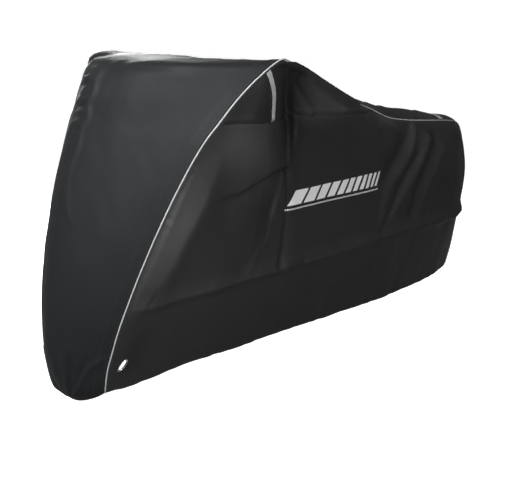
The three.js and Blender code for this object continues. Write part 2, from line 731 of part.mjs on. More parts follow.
// An eyelet around the Y axis: a barrel between two flanges.
function eyeletProfile() {
  const { hole, rim, barrel, flange, grip } = eyelet;
  const [inside, outside] = [grip / 2, grip / 2 + flange];
  const profile = [
    [hole, -outside], [rim - 0.4, -outside], [rim, -inside], [barrel, -inside],
    [barrel, inside], [rim, inside], [rim - 0.4, outside], [hole, outside], [hole, -outside],
  ];
  return new THREE.LatheGeometry(profile.map(([r, h]) => new THREE.Vector2(r, h)), eyelet.steps);
}

// Turns a body around the Y axis so that it stands square to a panel's cell, and moves it there.
function setIntoCell(geometry, { rows, sense }, { row, column }) {
  const corners = [[0, 0], [0, 1], [1, 1], [1, 0]].map(([r, c]) => rows[row + r][column + c]);
  const centre = new THREE.Vector3();
  corners.forEach((corner) => centre.addScaledVector(corner, 0.25));
  const diagonal = corners[2].clone().sub(corners[0]);
  const outward = diagonal.cross(corners[3].clone().sub(corners[1])).normalize();
  outward.multiplyScalar(sense);
  const turn = new THREE.Quaternion().setFromUnitVectors(new THREE.Vector3(0, 1, 0), outward);
  geometry.applyQuaternion(turn);
  return geometry.translate(centre.x, centre.y, centre.z);
}

const clothMaterials = {
  front: material('front_cloth', '#3b3e40', 0.75, 0),
  side: material('side_cloth', '#2a2a2b', 0.8, 0),
};
const pipingMaterial = material('piping', '#bfc2c4', 0.5, 0);
const tapeMaterial = material('reflective_tape', '#b4b8ba', 0.35, 0);
const metalMaterial = material('eyelet_metal', '#c8ccd0', 0.25, 1);

function material(name, color, roughness, metalness) {
  const made = new THREE.MeshStandardMaterial({ color, roughness, metalness });
  made.name = name;
  return made;
}

const group = new THREE.Group();
group.name = 'motorcycle_cover';

function add(name, geometry, look) {
  const mesh = new THREE.Mesh(geometry, look.clone());
  mesh.name = name;
  mesh.material.name = look.name;
  group.add(mesh);
}

const half = clothThickness / 2;
const besidePiping = piping.radius + piping.gap;
const sewn = sewnGap / 2;
const tapeLayer = [half + tape.gap, half + tape.gap + tape.thickness];

const { front, top } = middlePanels();
const frontCut = trimmed(front, { last: sewn, start: besidePiping, end: besidePiping });
const topCut = trimmed(top, { first: sewn, start: besidePiping, end: besidePiping });
add('front_panel', sheet(frontCut, -half, half), clothMaterials.front);
add('top_panel', sheet(topCut, -half, half), clothMaterials.side);

const tailBox = new THREE.BoxGeometry(tailTape.width, 600, 600);
tailBox.translate(tailTape.at, 0, 800);
add('tail_strip', common(sheet(topCut, ...tapeLayer), tailBox), tapeMaterial);

for (const [sideName, sense] of [['left', 1], ['right', -1]]) {
  const { skirt, side, shoulder } = sidePanels(sense, sideFolds[sideName]);
  const stripCut = trimmed(
    stretchOf(skirt, 0, eyeletStripColumns), { last: sewn, start: besidePiping, end: sewn });
  const skirtCut = trimmed(
    stretchOf(skirt, eyeletStripColumns, lastColumn), { last: sewn, start: sewn, end: besidePiping });
  const sideCut = trimmed(side, {
    first: sewn,
    last: (column) => (column > joinColumn ? besidePiping : sewn),
    start: besidePiping,
    end: besidePiping,
  });
  const shoulderCut = trimmed(shoulder, {
    first: sewn,
    last: (column) => besidePiping + (column === 1 ? tipSpare : 0),
    start: besidePiping,
    tip: true,
  });

  const holeCutter = new THREE.CylinderGeometry(
    eyelet.barrel + eyelet.gap, eyelet.barrel + eyelet.gap, 20, eyelet.steps);
  setIntoCell(holeCutter, skirt, eyeletCell);
  const stripBody = without(sheet(stripCut, -half, half), holeCutter);
  add(`eyelet_strip_${sideName}`, stripBody, clothMaterials.side);
  add(`skirt_${sideName}`, sheet(skirtCut, -half, half), clothMaterials.side);
  add(`side_${sideName}`, sheet(sideCut, -half, half), clothMaterials.side);
  add(`shoulder_${sideName}`, sheet(shoulderCut, -half, half), clothMaterials.side);
  add(`eyelet_${sideName}`, setIntoCell(eyeletProfile(), skirt, eyeletCell), metalMaterial);

  const block = sideBlock(bandOutline(shoulderTapeLine, tape.width), sense);
  add(`shoulder_strip_${sideName}`, common(sheet(shoulderCut, ...tapeLayer), block), tapeMaterial);

  const middle = [...frontSeamKnots.map((_, r) => front.normals[r]),
    ...topSeamKnots.slice(1).map((_, r) => top.normals[r + 1])];
  const outer = [
    ...skirt.normals.map((row) => row[0]),
    ...side.normals.slice(1).map((row) => row[0]),
    ...shoulder.normals.slice(1).map((row) => row[0]),
    ...shoulder.normals[shoulder.normals.length - 1].slice(1),
    ...side.normals[side.normals.length - 1].slice(joinColumn + 1),
    ...side.normals.slice(0, -1).reverse().map((row) => row[lastColumn]),
    ...skirt.normals.slice(0, -1).reverse().map((row) => row[lastColumn]),
  ];
  const up = outer.map((normal, index) => {
    const row = middle[index];
    return normal.clone().add(sense === 1 ? row[0] : row[row.length - 1]).normalize();
  });
  const stations = pipingStations.map((point, index) => (
    new THREE.Vector3(point.x, sense * point.y, point.z).addScaledVector(up[index], piping.lift)
  ));
  add(`piping_${sideName}`, cord(stations, up), pipingMaterial);
}

export default group;
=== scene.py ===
# Fitted outdoor cover: sewn cloth panels, piping, reflective tape and eyelets.
# The shape tables are in millimetres in the frame's own axes: front towards -X, left towards -Y, +Z up.
# They give the left half, and the right half is its mirror image with folds of its own.

import math

import bpy
import numpy as np
from mathutils import Matrix, Vector, kdtree
from mathutils.bvhtree import BVHTree


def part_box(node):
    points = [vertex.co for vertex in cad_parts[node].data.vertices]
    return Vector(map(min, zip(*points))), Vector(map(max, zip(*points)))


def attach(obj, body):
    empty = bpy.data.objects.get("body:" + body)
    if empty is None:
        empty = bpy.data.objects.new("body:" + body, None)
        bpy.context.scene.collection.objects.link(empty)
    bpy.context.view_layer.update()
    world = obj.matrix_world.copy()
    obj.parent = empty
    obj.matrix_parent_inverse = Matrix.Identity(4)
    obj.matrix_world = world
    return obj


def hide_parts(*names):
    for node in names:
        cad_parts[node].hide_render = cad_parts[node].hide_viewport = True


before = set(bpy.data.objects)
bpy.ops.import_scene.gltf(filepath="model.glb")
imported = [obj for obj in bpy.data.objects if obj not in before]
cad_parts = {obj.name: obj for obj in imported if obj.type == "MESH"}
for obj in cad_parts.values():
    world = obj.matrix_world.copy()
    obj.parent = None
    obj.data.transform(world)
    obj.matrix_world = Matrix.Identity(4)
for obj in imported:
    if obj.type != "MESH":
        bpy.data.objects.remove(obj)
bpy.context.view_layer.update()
bpy.ops.object.select_all(action="DESELECT")
mm = 0.001
print("frame loaded:", len(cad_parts), "nodes")

# The front panel's levels: its seam with the side, the half width there, the middle line and its arch.
frontRows = [
    # name, seam x, half width, seam z, nose x, nose z, arch
    ("front hem", -899, 140, 50, -954, 0, 2.3),
    ("", -904, 153, 80, -984, 34, 2),
    ("", -905, 172, 140, -1007, 105, 1.6),
    ("", -898, 192, 200, -1014, 185, 1.6),
    ("", -888, 212, 265, -1011, 260, 1.6),
    ("front mid seam", -871, 235, 340, -1003, 340, 1.6),
    ("", -834, 272, 469, -978, 470, 1.6),
    ("", -781, 311, 614, -938, 615, 1.6),
    ("", -721, 349, 751, -888, 752, 1.6),
    ("", -676, 376, 837, -852, 840, 1.6),
    ("front upper seam", -639, 396, 890, -829, 895, 1.6),
    ("", -591, 415, 951, -806, 962, 1.65),
    ("", -552, 428, 992, -778, 1010, 1.85),
    ("", -514, 438, 1025, -742, 1042, 2.3),
    ("", -476, 447, 1053, -672, 1064, 3),
    ("tip", -438, 450, 1070, -438, 1066, 4),
]

# The top panel's places along it: its seam with the side, and how far it is crowned.
backRows = [
    # name, seam x, half width, seam z, crown
    ("tip", -438, 450, 1070, -8),
    ("", -396, 439, 1062, -9),
    ("", -313, 412, 1040, -10),
    ("", -194, 368, 999, -8),
    ("", -47, 304, 953, 0),
    ("", 90, 243, 914, 12),
    ("", 205, 194, 883, 27),
    ("shoulder end", 285, 180, 860, 38),
    ("", 340, 180, 838, 44),
    ("", 402, 180, 818, 46),
    ("", 480, 180, 806, 46),
    ("", 580, 180, 796, 44),
    ("", 690, 180, 788, 38),
    ("", 800, 167, 778, 29),
    ("tail corner", 901, 140, 760, 28),
    ("", 954, 126, 718, 26),
    ("", 983, 120, 648, 22),
    ("", 992, 120, 560, 18),
    ("", 988, 120, 470, 16),
    ("rear mid seam", 981, 120, 388, 15),
    ("", 960, 120, 298, 12),
    ("", 936, 120, 205, 9),
    ("rear hem", 901, 120, 120, 6),
]

# The lines along the left side, from the front seam to the rear one: x, half width, z.
sideLines = {
    "upperSeam": [
        (-639, 396, 890), (-519, 402, 887), (-418, 395, 882), (-236, 370, 886),
        (-29, 310, 873), (130, 255, 859), (230, 211, 852), (281, 184, 854),
    ],
    "midSeam": [
        (-871, 235, 340), (-815, 265, 343), (-744, 285, 357), (-660, 305, 365), (-560, 322, 374),
        (-400, 337, 384), (-200, 345, 391), (0, 345, 398), (200, 336, 404), (400, 316, 404),
        (590, 290, 399), (750, 250, 391), (856, 203, 387), (930, 155, 387), (981, 120, 388),
    ],
    "hem": [
        (-899, 140, 50), (-860, 137, 47), (-805, 141, 47), (-740, 160, 60), (-670, 177, 73),
        (-567, 200, 91), (-400, 221, 103), (-150, 225, 109), (100, 223, 108), (330, 215, 107),
        (550, 200, 112), (720, 180, 120), (820, 155, 123), (901, 120, 120),
    ],
}

shape = {
    "clothThickness": 1.2,
    "cell": 6.5,  # size of the mesh's cells
    "panelHeights": (600, 320, 260),  # side, skirt and shoulder, about, to share out their cells
    "lineSteps": 3001,  # for measuring along a line
    "edgeCells": (0, 1.4, 3, 5, 7.5, 11),  # distances of the finer cells along an edge
    "joinFraction": 0.6,  # how far along the mid seam the upper seam ends
    "seamGap": 0.25,
    "crownArch": (2.2, 5.5),  # in front, and over the low rear, where the crown is fuller
    "crownFullFrom": (230, 400),
    "crownFullUp": (500, 700),
    "crownEase": 0.84,  # how much of its height the fuller crown keeps
    "topCells": (480, 68),  # the top's width for its edge cells, and how many cells lie between
    "shoulderReach": 0.86,  # how far up the front seam the shoulder's crest starts
    "crestStart": (3, 12, 0.1),  # out, down, and the share of the ridge until it is full
    "crestFull": (12, 8),  # out, up
    "crestEndShare": 0.55,
    "crestRound": 0.93,  # where up the shoulder the round of the crest starts
    "crestTaper": 0.25,  # share of the ridge, before its end, over which the crest dies out
    "crestNear": 0.023,  # share of the shoulder between the front seam and the tip
    "crestPull": 0.8,  # how far the round of the crest swells
    "crestSteps": (11, 1.25),  # points over the round of the crest, and how they crowd
    "ridgeFan": (2.2, 0.45),
    "foldFade": (4, 26),  # distances from the piping over which the folds begin
}

# Outward bulge of the side panel and the skirt: fraction of the mid seam, side, skirt.
bulges = [(0, 0, 0), (0.15, 8, 8), (0.4, 8, 10), (0.6, 22, 10), (0.8, 34, 10), (0.92, 30, 6), (1, 0, 0)]
bulgePeak = 0.6


def smooth(value, low, high):
    part = np.clip((np.asarray(value, float) - low) / (high - low), 0, 1)
    return part * part * (3 - 2 * part)


def lerp(low, high, part):
    return low + (high - low) * part


# A smooth line through a table's rows. Its knots are the rows, counted from 0.
def linePoints(rows, knots):
    rows = np.asarray(rows, float)
    around = np.vstack([2 * rows[0] - rows[1], rows, 2 * rows[-1] - rows[-2]])
    knots = np.clip(np.asarray(knots, float), 0, len(rows) - 1)
    start = np.minimum(knots.astype(int), len(rows) - 2)
    t = (knots - start)[..., None]
    before, low, high, after = (around[start + step] for step in range(4))
    lowSlope, highSlope = (high - before) / 2, (after - low) / 2
    square = 3 * (high - low) - 2 * lowSlope - highSlope
    cube = 2 * (low - high) + lowSlope + highSlope
    return low + lowSlope * t + square * t**2 + cube * t**3


def lineLength(points):
    return float(np.linalg.norm(np.diff(points, axis=0), axis=1).sum())


# How far along a line each of its points is.
def lengthsAlong(points):
    return np.concatenate([[0], np.cumsum(np.linalg.norm(np.diff(points, axis=0), axis=1))])


# Rows of values at new places, between the places where they are known.
def between(places, known, values):
    return np.stack([np.interp(places, known, values[:, axis]) for axis in range(3)], axis=1)


def unit(vectors):
    return vectors / np.linalg.norm(vectors, axis=1, keepdims=True)


# The knots at fractions of the length between two knots.
def knotsAt(rows, fractions, first=0, last=None):
    last = len(rows) - 1 if last is None else last
    knots = np.linspace(first, last, shape["lineSteps"])
    points = linePoints(rows, knots)
    lengths = lengthsAlong(points)
    return np.interp(np.asarray(fractions) * lengths[-1], lengths, knots)


def leftRows(rows):
    return np.array([(x, -halfWidth, z) for x, halfWidth, z in rows], float)


longSeamRows = frontRows + backRows[1:]
longSeam = leftRows([row[1:4] for row in longSeamRows])
noseLine = np.array([row[4:6] for row in frontRows], float)
archLine = np.array([row[6:7] for row in frontRows], float)
crownLine = np.array([row[4:5] for row in backRows], float)
upperSeam, midSeam, hemLine = (leftRows(sideLines[name]) for name in ("upperSeam", "midSeam", "hem"))


def seamKnot(name):
    return [row[0] for row in longSeamRows].index(name)


def seamKnots(fractions, first, last):
    return knotsAt(longSeam, fractions, seamKnot(first), seamKnot(last))


# Fractions of a length in even cells, finer along the edges.
def spread(length, edgeAtStart=True, edgeAtEnd=True):
    edge = shape["edgeCells"]
    low = edge if edgeAtStart else (0,)
    high = edge if edgeAtEnd else (0,)
    count = max(2, round((length - low[-1] - high[-1]) / shape["cell"]))
    inner = np.linspace(low[-1], length - high[-1], count + 1)
    return np.concatenate([low[:-1], inner, length - np.array(high[:-1])[::-1]]) / length


midLength = lineLength(linePoints(midSeam, np.linspace(0, len(midSeam) - 1, 800)))
join = shape["joinFraction"]
shoulderColumns = spread(join * midLength, edgeAtEnd=False)
seatColumns = spread((1 - join) * midLength, edgeAtStart=False)
sideColumns = np.concatenate([join * shoulderColumns, join + (1 - join) * seatColumns[1:]])
joinColumn = len(shoulderColumns) - 1
sideHeight, skirtHeight, shoulderHeight = shape["panelHeights"]
sideRows = spread(sideHeight)
skirtRows = spread(skirtHeight)
shoulderRows = spread(shoulderHeight, edgeAtEnd=False) * shape["crestRound"]
stepCount, stepPower = shape["crestSteps"]
crestSteps = 1 - (1 - np.linspace(0, 1, stepCount)[1:]) ** stepPower  # over the crest, to the seam


def fromTable(table, fractions, column):
    table = np.asarray(table, float)
    row = np.clip(np.searchsorted(table[:, 0], fractions, side="right") - 1, 0, len(table) - 2)
    part = smooth((fractions - table[row, 0]) / (table[row + 1, 0] - table[row, 0]), 0, 1)
    return lerp(table[row, column], table[row + 1, column], part)


def hump(fractions, peak):
    part = np.where(fractions < peak, fractions / peak, (1 - fractions) / (1 - peak))
    return np.sin(np.pi / 2 * np.clip(part, 0, 1))


# A smooth patch between four edges, given at the fractions along and up.
def patch(bottom, top, start, end, along, up):
    u, v = along[None, :, None], up[:, None, None]
    sides = (1 - v) * bottom[None] + v * top[None] + (1 - u) * start[:, None] + u * end[:, None]
    low = (1 - u) * bottom[0] + u * bottom[-1]
    high = (1 - u) * top[0] + u * top[-1]
    return sides - (1 - v) * low - v * high


# A sheet's middle surface as rows of points, with fields that say how far each seam is.
class Panel:
    def __init__(self, rows, sense):
        self.rows, self.sense, self.fields = rows, sense, {}
        # shade holds each point's painted light and shade, 1 where none is painted.
        self.shade = np.ones(rows.shape[:2])
        self.refresh()

    def refresh(self):
        rows = np.pad(self.rows, ((1, 1), (1, 1), (0, 0)), mode="edge")
        along = rows[1:-1, 2:] - rows[1:-1, :-2]
        up = rows[2:, 1:-1] - rows[:-2, 1:-1]
        normals = np.cross(along, up) * self.sense
        self.normals = normals / np.maximum(np.linalg.norm(normals, axis=2, keepdims=True), 1e-9)

    def move(self, heights):
        self.rows = self.rows + self.normals * heights[..., None]
        self.refresh()

    # A copy for the left side or, mirrored, for the right one.
    def onSide(self, sense):
        other = Panel(self.rows * (1, sense, 1), sense)
        other.fields = self.fields
        return other


def shareNormals(one, oneEdge, other, otherEdge):
    mean = unit(one.normals[oneEdge] + other.normals[otherEdge])
    one.normals[oneEdge] = mean
    other.normals[otherEdge] = mean


def shareSideNormals(skirt, side, shoulder):
    shareNormals(skirt, np.s_[-1, :], side, np.s_[0, :])
    shareNormals(side, np.s_[-1, :joinColumn + 1], shoulder, np.s_[0, :])


# Stations on the seams, which the panels beside each seam share.
upperStations = linePoints(upperSeam, knotsAt(upperSeam, shoulderColumns))
midStations = linePoints(midSeam, knotsAt(midSeam, sideColumns))
fanPower, fanEven = shape["ridgeFan"]
ridgeColumns = lerp(shoulderColumns**fanPower, shoulderColumns, fanEven)
ridgeStations = linePoints(longSeam, seamKnots(ridgeColumns, "tip", "shoulder end"))
seatStations = linePoints(longSeam, seamKnots(seatColumns, "shoulder end", "tail corner"))
reach, roundStart = shape["shoulderReach"], shape["crestRound"]
frontOfShoulder = np.concatenate([
    shoulderRows * reach,
    lerp(roundStart * reach, 1, crestSteps),
])


def crestStations():
    startOut, startDown, startLength = shape["crestStart"]
    fullOut, fullUp = shape["crestFull"]
    part = smooth(ridgeColumns, 0, startLength)[:, None]
    rise = lerp(np.array([0, -startOut, -startDown]), np.array([0, -fullOut, fullUp]), part)
    taper = smooth(1 - ridgeColumns, 0, shape["crestTaper"])[:, None]
    below = np.where(ridgeColumns[:, None] > 0.5, shape["crestEndShare"] * (1 - taper), 0)
    crest = lerp(ridgeStations, upperStations, below) + rise * taper
    near = shoulderColumns < shape["crestNear"]
    first = linePoints(longSeam, seamKnots([reach], "front upper seam", "tip"))[0]
    part = (shoulderColumns[near] / shape["crestNear"])[:, None]
    crest[near] = lerp(first, crest[near.sum()], part)
    return crest


def makeShoulder():
    front = linePoints(longSeam, seamKnots(shoulderRows * reach, "front upper seam", "tip"))
    crest = crestStations()
    top = linePoints(longSeam, seamKnots([reach], "front upper seam", "tip"))[0]
    crest[0] = top
    levels = np.append(shoulderRows, 1)
    fullFront = np.vstack([front, top])
    rear = lerp(upperStations[-1], crest[-1], levels[:, None])
    rows = patch(upperStations, crest, fullFront, rear, shoulderColumns, levels)[:-1]
    turn = rows[-1]
    control = crest + shape["crestPull"] * (crest - (turn + ridgeStations) / 2)
    t = crestSteps[:, None, None]
    arc = (1 - t) ** 2 * turn + 2 * t * (1 - t) * control + t**2 * ridgeStations
    rows = np.vstack([rows, arc])
    rows[:, 0] = linePoints(longSeam, seamKnots(frontOfShoulder, "front upper seam", "tip"))
    return Panel(rows, 1)


def makeSide():
    front = linePoints(longSeam, seamKnots(sideRows, "front mid seam", "front upper seam"))
    rear = linePoints(longSeam, seamKnots(sideRows, "rear mid seam", "tail corner"))
    top = np.vstack([upperStations, seatStations[1:]])
    panel = Panel(patch(midStations, top, front, rear, sideColumns, sideRows), 1)
    panel.move(hump(sideRows, bulgePeak)[:, None] * fromTable(bulges, sideColumns, 1)[None])
    return panel


def makeSkirt():
    front = linePoints(longSeam, seamKnots(skirtRows, "front hem", "front mid seam"))
    rear = linePoints(longSeam, seamKnots(skirtRows, "rear hem", "rear mid seam"))
    hem = linePoints(hemLine, knotsAt(hemLine, sideColumns))
    panel = Panel(patch(hem, midStations, front, rear, sideColumns, skirtRows), 1)
    panel.move(hump(skirtRows, bulgePeak)[:, None] * fromTable(bulges, sideColumns, 2)[None])
    return panel


frontKnots = np.concatenate([
    seamKnots(skirtRows, "front hem", "front mid seam"),
    seamKnots(sideRows, "front mid seam", "front upper seam")[1:],
    seamKnots(frontOfShoulder, "front upper seam", "tip")[1:],
])
backKnots = np.concatenate([
    seamKnots(ridgeColumns, "tip", "shoulder end"),
    seamKnots(seatColumns, "shoulder end", "tail corner")[1:],
    seamKnots(1 - sideRows[::-1], "tail corner", "rear mid seam")[1:],
    seamKnots(1 - skirtRows[::-1], "rear mid seam", "rear hem")[1:],
])
topWidth, topCellCount = shape["topCells"]
edgeShares = np.array(shape["edgeCells"][:-1]) / topWidth
acrossTop = np.concatenate([
    edgeShares * 2 - 1, np.linspace(edgeShares[-1] * 2 - 0.982, 0.982, topCellCount),
    (1 - edgeShares * 2)[::-1],
])
acrossFront = np.sort(np.concatenate([acrossTop, (acrossTop[1:] + acrossTop[:-1]) / 2]))


def makeFront():
    seam, nose = linePoints(longSeam, frontKnots), linePoints(noseLine, frontKnots)
    arch = linePoints(archLine, frontKnots)
    reached = np.abs(acrossFront)[None] ** arch
    x = lerp(nose[:, :1], seam[:, :1], reached)
    z = lerp(nose[:, 1:], seam[:, 2:], reached)
    y = -seam[:, 1:2] * acrossFront[None]
    return Panel(np.stack([x, y, z], axis=2), -1)


def makeTop():
    seam = linePoints(longSeam, backKnots)
    along = linePoints(longSeam, backKnots + 0.05) - linePoints(longSeam, backKnots - 0.05)
    up = np.stack([-along[:, 2], 0 * along[:, 0], along[:, 0]], axis=1)
    up = unit(up)
    crown = linePoints(crownLine, backKnots - seamKnot("tip"))
    full = smooth(seam[:, :1], *shape["crownFullFrom"]) * smooth(seam[:, 2:], *shape["crownFullUp"])
    arch = lerp(*shape["crownArch"], full)
    rise = crown * lerp(1, shape["crownEase"], full) * (1 - np.abs(acrossTop)[None] ** arch)
    rows = seam[:, None] * np.array([1, 0, 1]) + rise[..., None] * up[:, None]
    rows[..., 1] = -seam[:, 1:2] * acrossTop[None]
    return Panel(rows, -1)


# The front's last row runs through the top's first one, which has half as many points.
def joinFrontToTop(front, top):
    row = top.rows[0]
    front.rows[-1, ::2] = row
    front.rows[-1, 1::2] = (row[1:] + row[:-1]) / 2
    front.refresh()
    mean = unit(front.normals[-1, ::2] + top.normals[0])
    top.normals[0] = mean
    front.normals[-1, ::2] = mean
    front.normals[-1, 1::2] = unit(mean[1:] + mean[:-1])


# A seam as close points, to find the nearest one from anywhere.
def seamTree(points):
    lengths = lengthsAlong(points)
    even = np.arange(0, lengths[-1], 2.0)
    line = between(even, lengths, points)
    tangents = unit(np.gradient(line, axis=0))
    tree = kdtree.KDTree(len(line))
    for index, point in enumerate(line):
        tree.insert(point, index)
    tree.balance()
    return tree, line, tangents, even


# How far each point of a panel is from a seam, and where along the seam the nearest place is.
def addField(panel, name, seam):
    tree, line, tangents, even = seam
    points = panel.rows.reshape(-1, 3).copy()
    points[:, 1] = -np.abs(points[:, 1])
    nearest = np.array([tree.find(point)[1] for point in points])
    offset = points - line[nearest]
    along = (offset * tangents[nearest]).sum(axis=1)
    distance = np.sqrt(np.maximum((offset**2).sum(axis=1) - along**2, 0))
    grid = panel.rows.shape[:2]
    panel.fields[name] = (distance.reshape(grid), (even[nearest] + along).reshape(grid))


pipingLine = linePoints(longSeam, np.linspace(0, len(longSeam) - 1, 4000))
seams = {
    "piping": seamTree(pipingLine),
    "upper": seamTree(linePoints(upperSeam, np.linspace(0, len(upperSeam) - 1, 900))),
    "mid": seamTree(linePoints(midSeam, np.linspace(0, len(midSeam) - 1, 1500))),
    "hem": seamTree(linePoints(hemLine, np.linspace(0, len(hemLine) - 1, 1500))),
}
basePanels = {"skirt": makeSkirt(), "side": makeSide(), "shoulder": makeShoulder()}
frontPanel, topPanel = makeFront(), makeTop()
joinFrontToTop(frontPanel, topPanel)
for panel, names in (
    (basePanels["skirt"], ("piping", "mid", "hem")),
    (basePanels["side"], ("piping", "mid", "upper")),
    (basePanels["shoulder"], ("piping", "upper")),
    (frontPanel, ("piping",)),
    (topPanel, ("piping",)),
):
    for name in names:
        addField(panel, name, seams[name])
print("panels laid out:", sum(p.rows[..., 0].size for p in basePanels.values()), "points a side")

# Folds over x and z on the sides, over y and z in front, and over x and y on top. Each runs through
# its points, which give its height there, a trough's being negative. It is as wide as the first
# width on its left, looking along it, and as the second on its right.
sideFolds = {
    "left": [
        # the shoulder, under the raised strip
        ([(-401, 1053, -16), (-373, 1010, -28), (-354, 974, -35), (-339, 931, -38), (-327, 889, -38),
          (-315, 848, -34), (-316, 789, -24), (-322, 737, -12)], 90, 66),
        ([(-406, 1053, 5), (-378, 1010, 9), (-359, 974, 11), (-344, 931, 11), (-331, 889, 11),
          (-317, 848, 10), (-317, 789, 9), (-322, 737, 5)], 15, 6),
        ([(-350, 1024, -3), (-320, 972, -5), (-299, 920, -6), (-288, 881, -7), (-283, 832, -6),
          (-294, 786, -3)], 8, 13),
        ([(-345, 1015, 5), (-333, 999, 6.5), (-290, 950, 6.5), (-233, 891, 6.5)], 16, 14),
        ([(-270, 1005, 6.5), (-251, 990, 6.5), (-185, 941, 6.5), (-116, 910, 6.5), (-15, 880, 5)], 18, 17),
        ([(-310, 1000, -6.5), (-291, 978, -6.5), (-202, 912, -6.5)], 18, 16),
        ([(-200, 990, -6.5), (-180, 978, -6.5), (-40, 915, -6.5), (92, 869, -5)], 24, 22),
        ([(-505, 1000, 4), (-520, 905, 5)], 40, 30),
        # the side, behind the front seam
        ([(-462, 880, 4), (-446, 820, 10), (-430, 750, 11), (-436, 690, 6)], 34, 105),
        ([(-540, 905, 1), (-604, 816, 3), (-634, 746, 11), (-672, 660, 22), (-718, 573, 28),
          (-758, 489, 28), (-790, 423, 20)], 48, 70),
        ([(-640, 651, -1), (-591, 659, -6), (-543, 661, -7), (-509, 675, -7), (-458, 693, -7),
          (-399, 712, -8), (-341, 720, -8)], 7, 30),
        ([(-328, 718, -9.5), (-323, 698, -9.5), (-333, 681, -8), (-329, 629, -9.5), (-333, 531, -9.5),
          (-340, 455, -8), (-350, 405, -6.5)], 19, 10),
        ([(-345, 700, 1), (-369, 675, 2), (-390, 603, 2.5), (-413, 551, 3), (-435, 483, 3), (-475, 407, 2)],
         14, 8),
        ([(-358, 697, -4), (-395, 601, -7), (-419, 506, -5)], 8, 32),
        # the side, towards the tail
        ([(318, 806, 11), (352, 790, 13), (384, 774, 9)], 26, 26),
        ([(489, 773, -8), (418, 720, -11), (348, 672, -11), (252, 613, -9)], 18, 40),
        ([(519, 778, 7), (482, 732, 10), (433, 681, 11), (360, 633, 11), (290, 592, 10), (227, 547, 9),
          (178, 464, 7)], 16, 24),
        ([(490, 675, -6), (385, 605, -8), (285, 520, -8), (180, 428, -6)], 14, 14),
        ([(598, 735, 9), (545, 690, 10), (490, 640, 11), (380, 560, 11), (267, 488, 9)], 20, 22),
        ([(561, 772, -6), (612, 745, -11), (640, 722, -14), (628, 700, -14), (592, 672, -13),
          (516, 608, -13), (452, 549, -12), (386, 459, -9)], 30, 26),
        ([(662, 664, 6), (600, 616, 6), (524, 540, 6), (436, 448, 5)], 26, 26),
        ([(567, 571, -4), (520, 505, -5), (466, 436, -4)], 14, 14),
        ([(826, 690, -8), (800, 610, -9), (765, 533, -6)], 26, 40),
        ([(890, 700, 3), (886, 600, 6), (876, 490, 6)], 44, 50),
        # the skirt
        ([(-826, 125, -16), (-819, 170, -14), (-812, 215, -10.5)], 49, 49),
        ([(-290, 384, -6.5), (-246, 392, -6.5)], 17, 17),
    ],
    "right": [
        ([(-430, 1050, -14), (-385, 871, -11.5), (-352, 690, -13)], 17, 29),
        ([(-404, 1046, 8), (-388, 888, 8), (-345, 735, 6.5)], 12, 13),
        ([(-368, 1030, -9.5), (-309, 886, -9.5), (-300, 730, -8)], 14, 14),
        ([(-330, 1000, 6.5), (-266, 947, 6.5), (-210, 888, 6.5)], 17, 17),
        ([(-262, 992, -8), (-167, 931, -8), (-60, 890, -6.5)], 22, 22),
        ([(-500, 1000, 6.5), (-506, 950, 6.5), (-512, 905, 5)], 19, 19),
        ([(-505, 940, 8), (-570, 820, 9.5), (-646, 672, 9.5), (-780, 400, 9.5)], 16, 41),
        ([(-600, 690, -6.5), (-476, 678, -8), (-352, 694, -9.5)], 17, 10),
        ([(-352, 690, -9.5), (-354, 548, -8), (-372, 405, -6.5)], 19, 11),
        ([(-366, 690, 8), (-432, 555, 6.5), (-520, 410, 5)], 13, 14),
        ([(440, 770, -9.5), (351, 660, -9.5), (250, 560, -6.5)], 29, 24),
        ([(480, 768, 9.5), (356, 612, 9.5), (215, 470, 6.5)], 19, 18),
        ([(540, 740, -11), (390, 595, -9.5), (250, 440, -8)], 14, 19),
        ([(600, 720, 8), (470, 596, 8), (330, 480, 5)], 18, 18),
        ([(650, 735, -13), (538, 597, -13), (440, 450, -8)], 16, 22),
        ([(770, 700, -6.5), (752, 610, -6.5), (740, 520, -5)], 31, 31),
        ([(-826, 125, -16), (-819, 170, -14), (-812, 215, -10.5)], 49, 49),
    ],
}
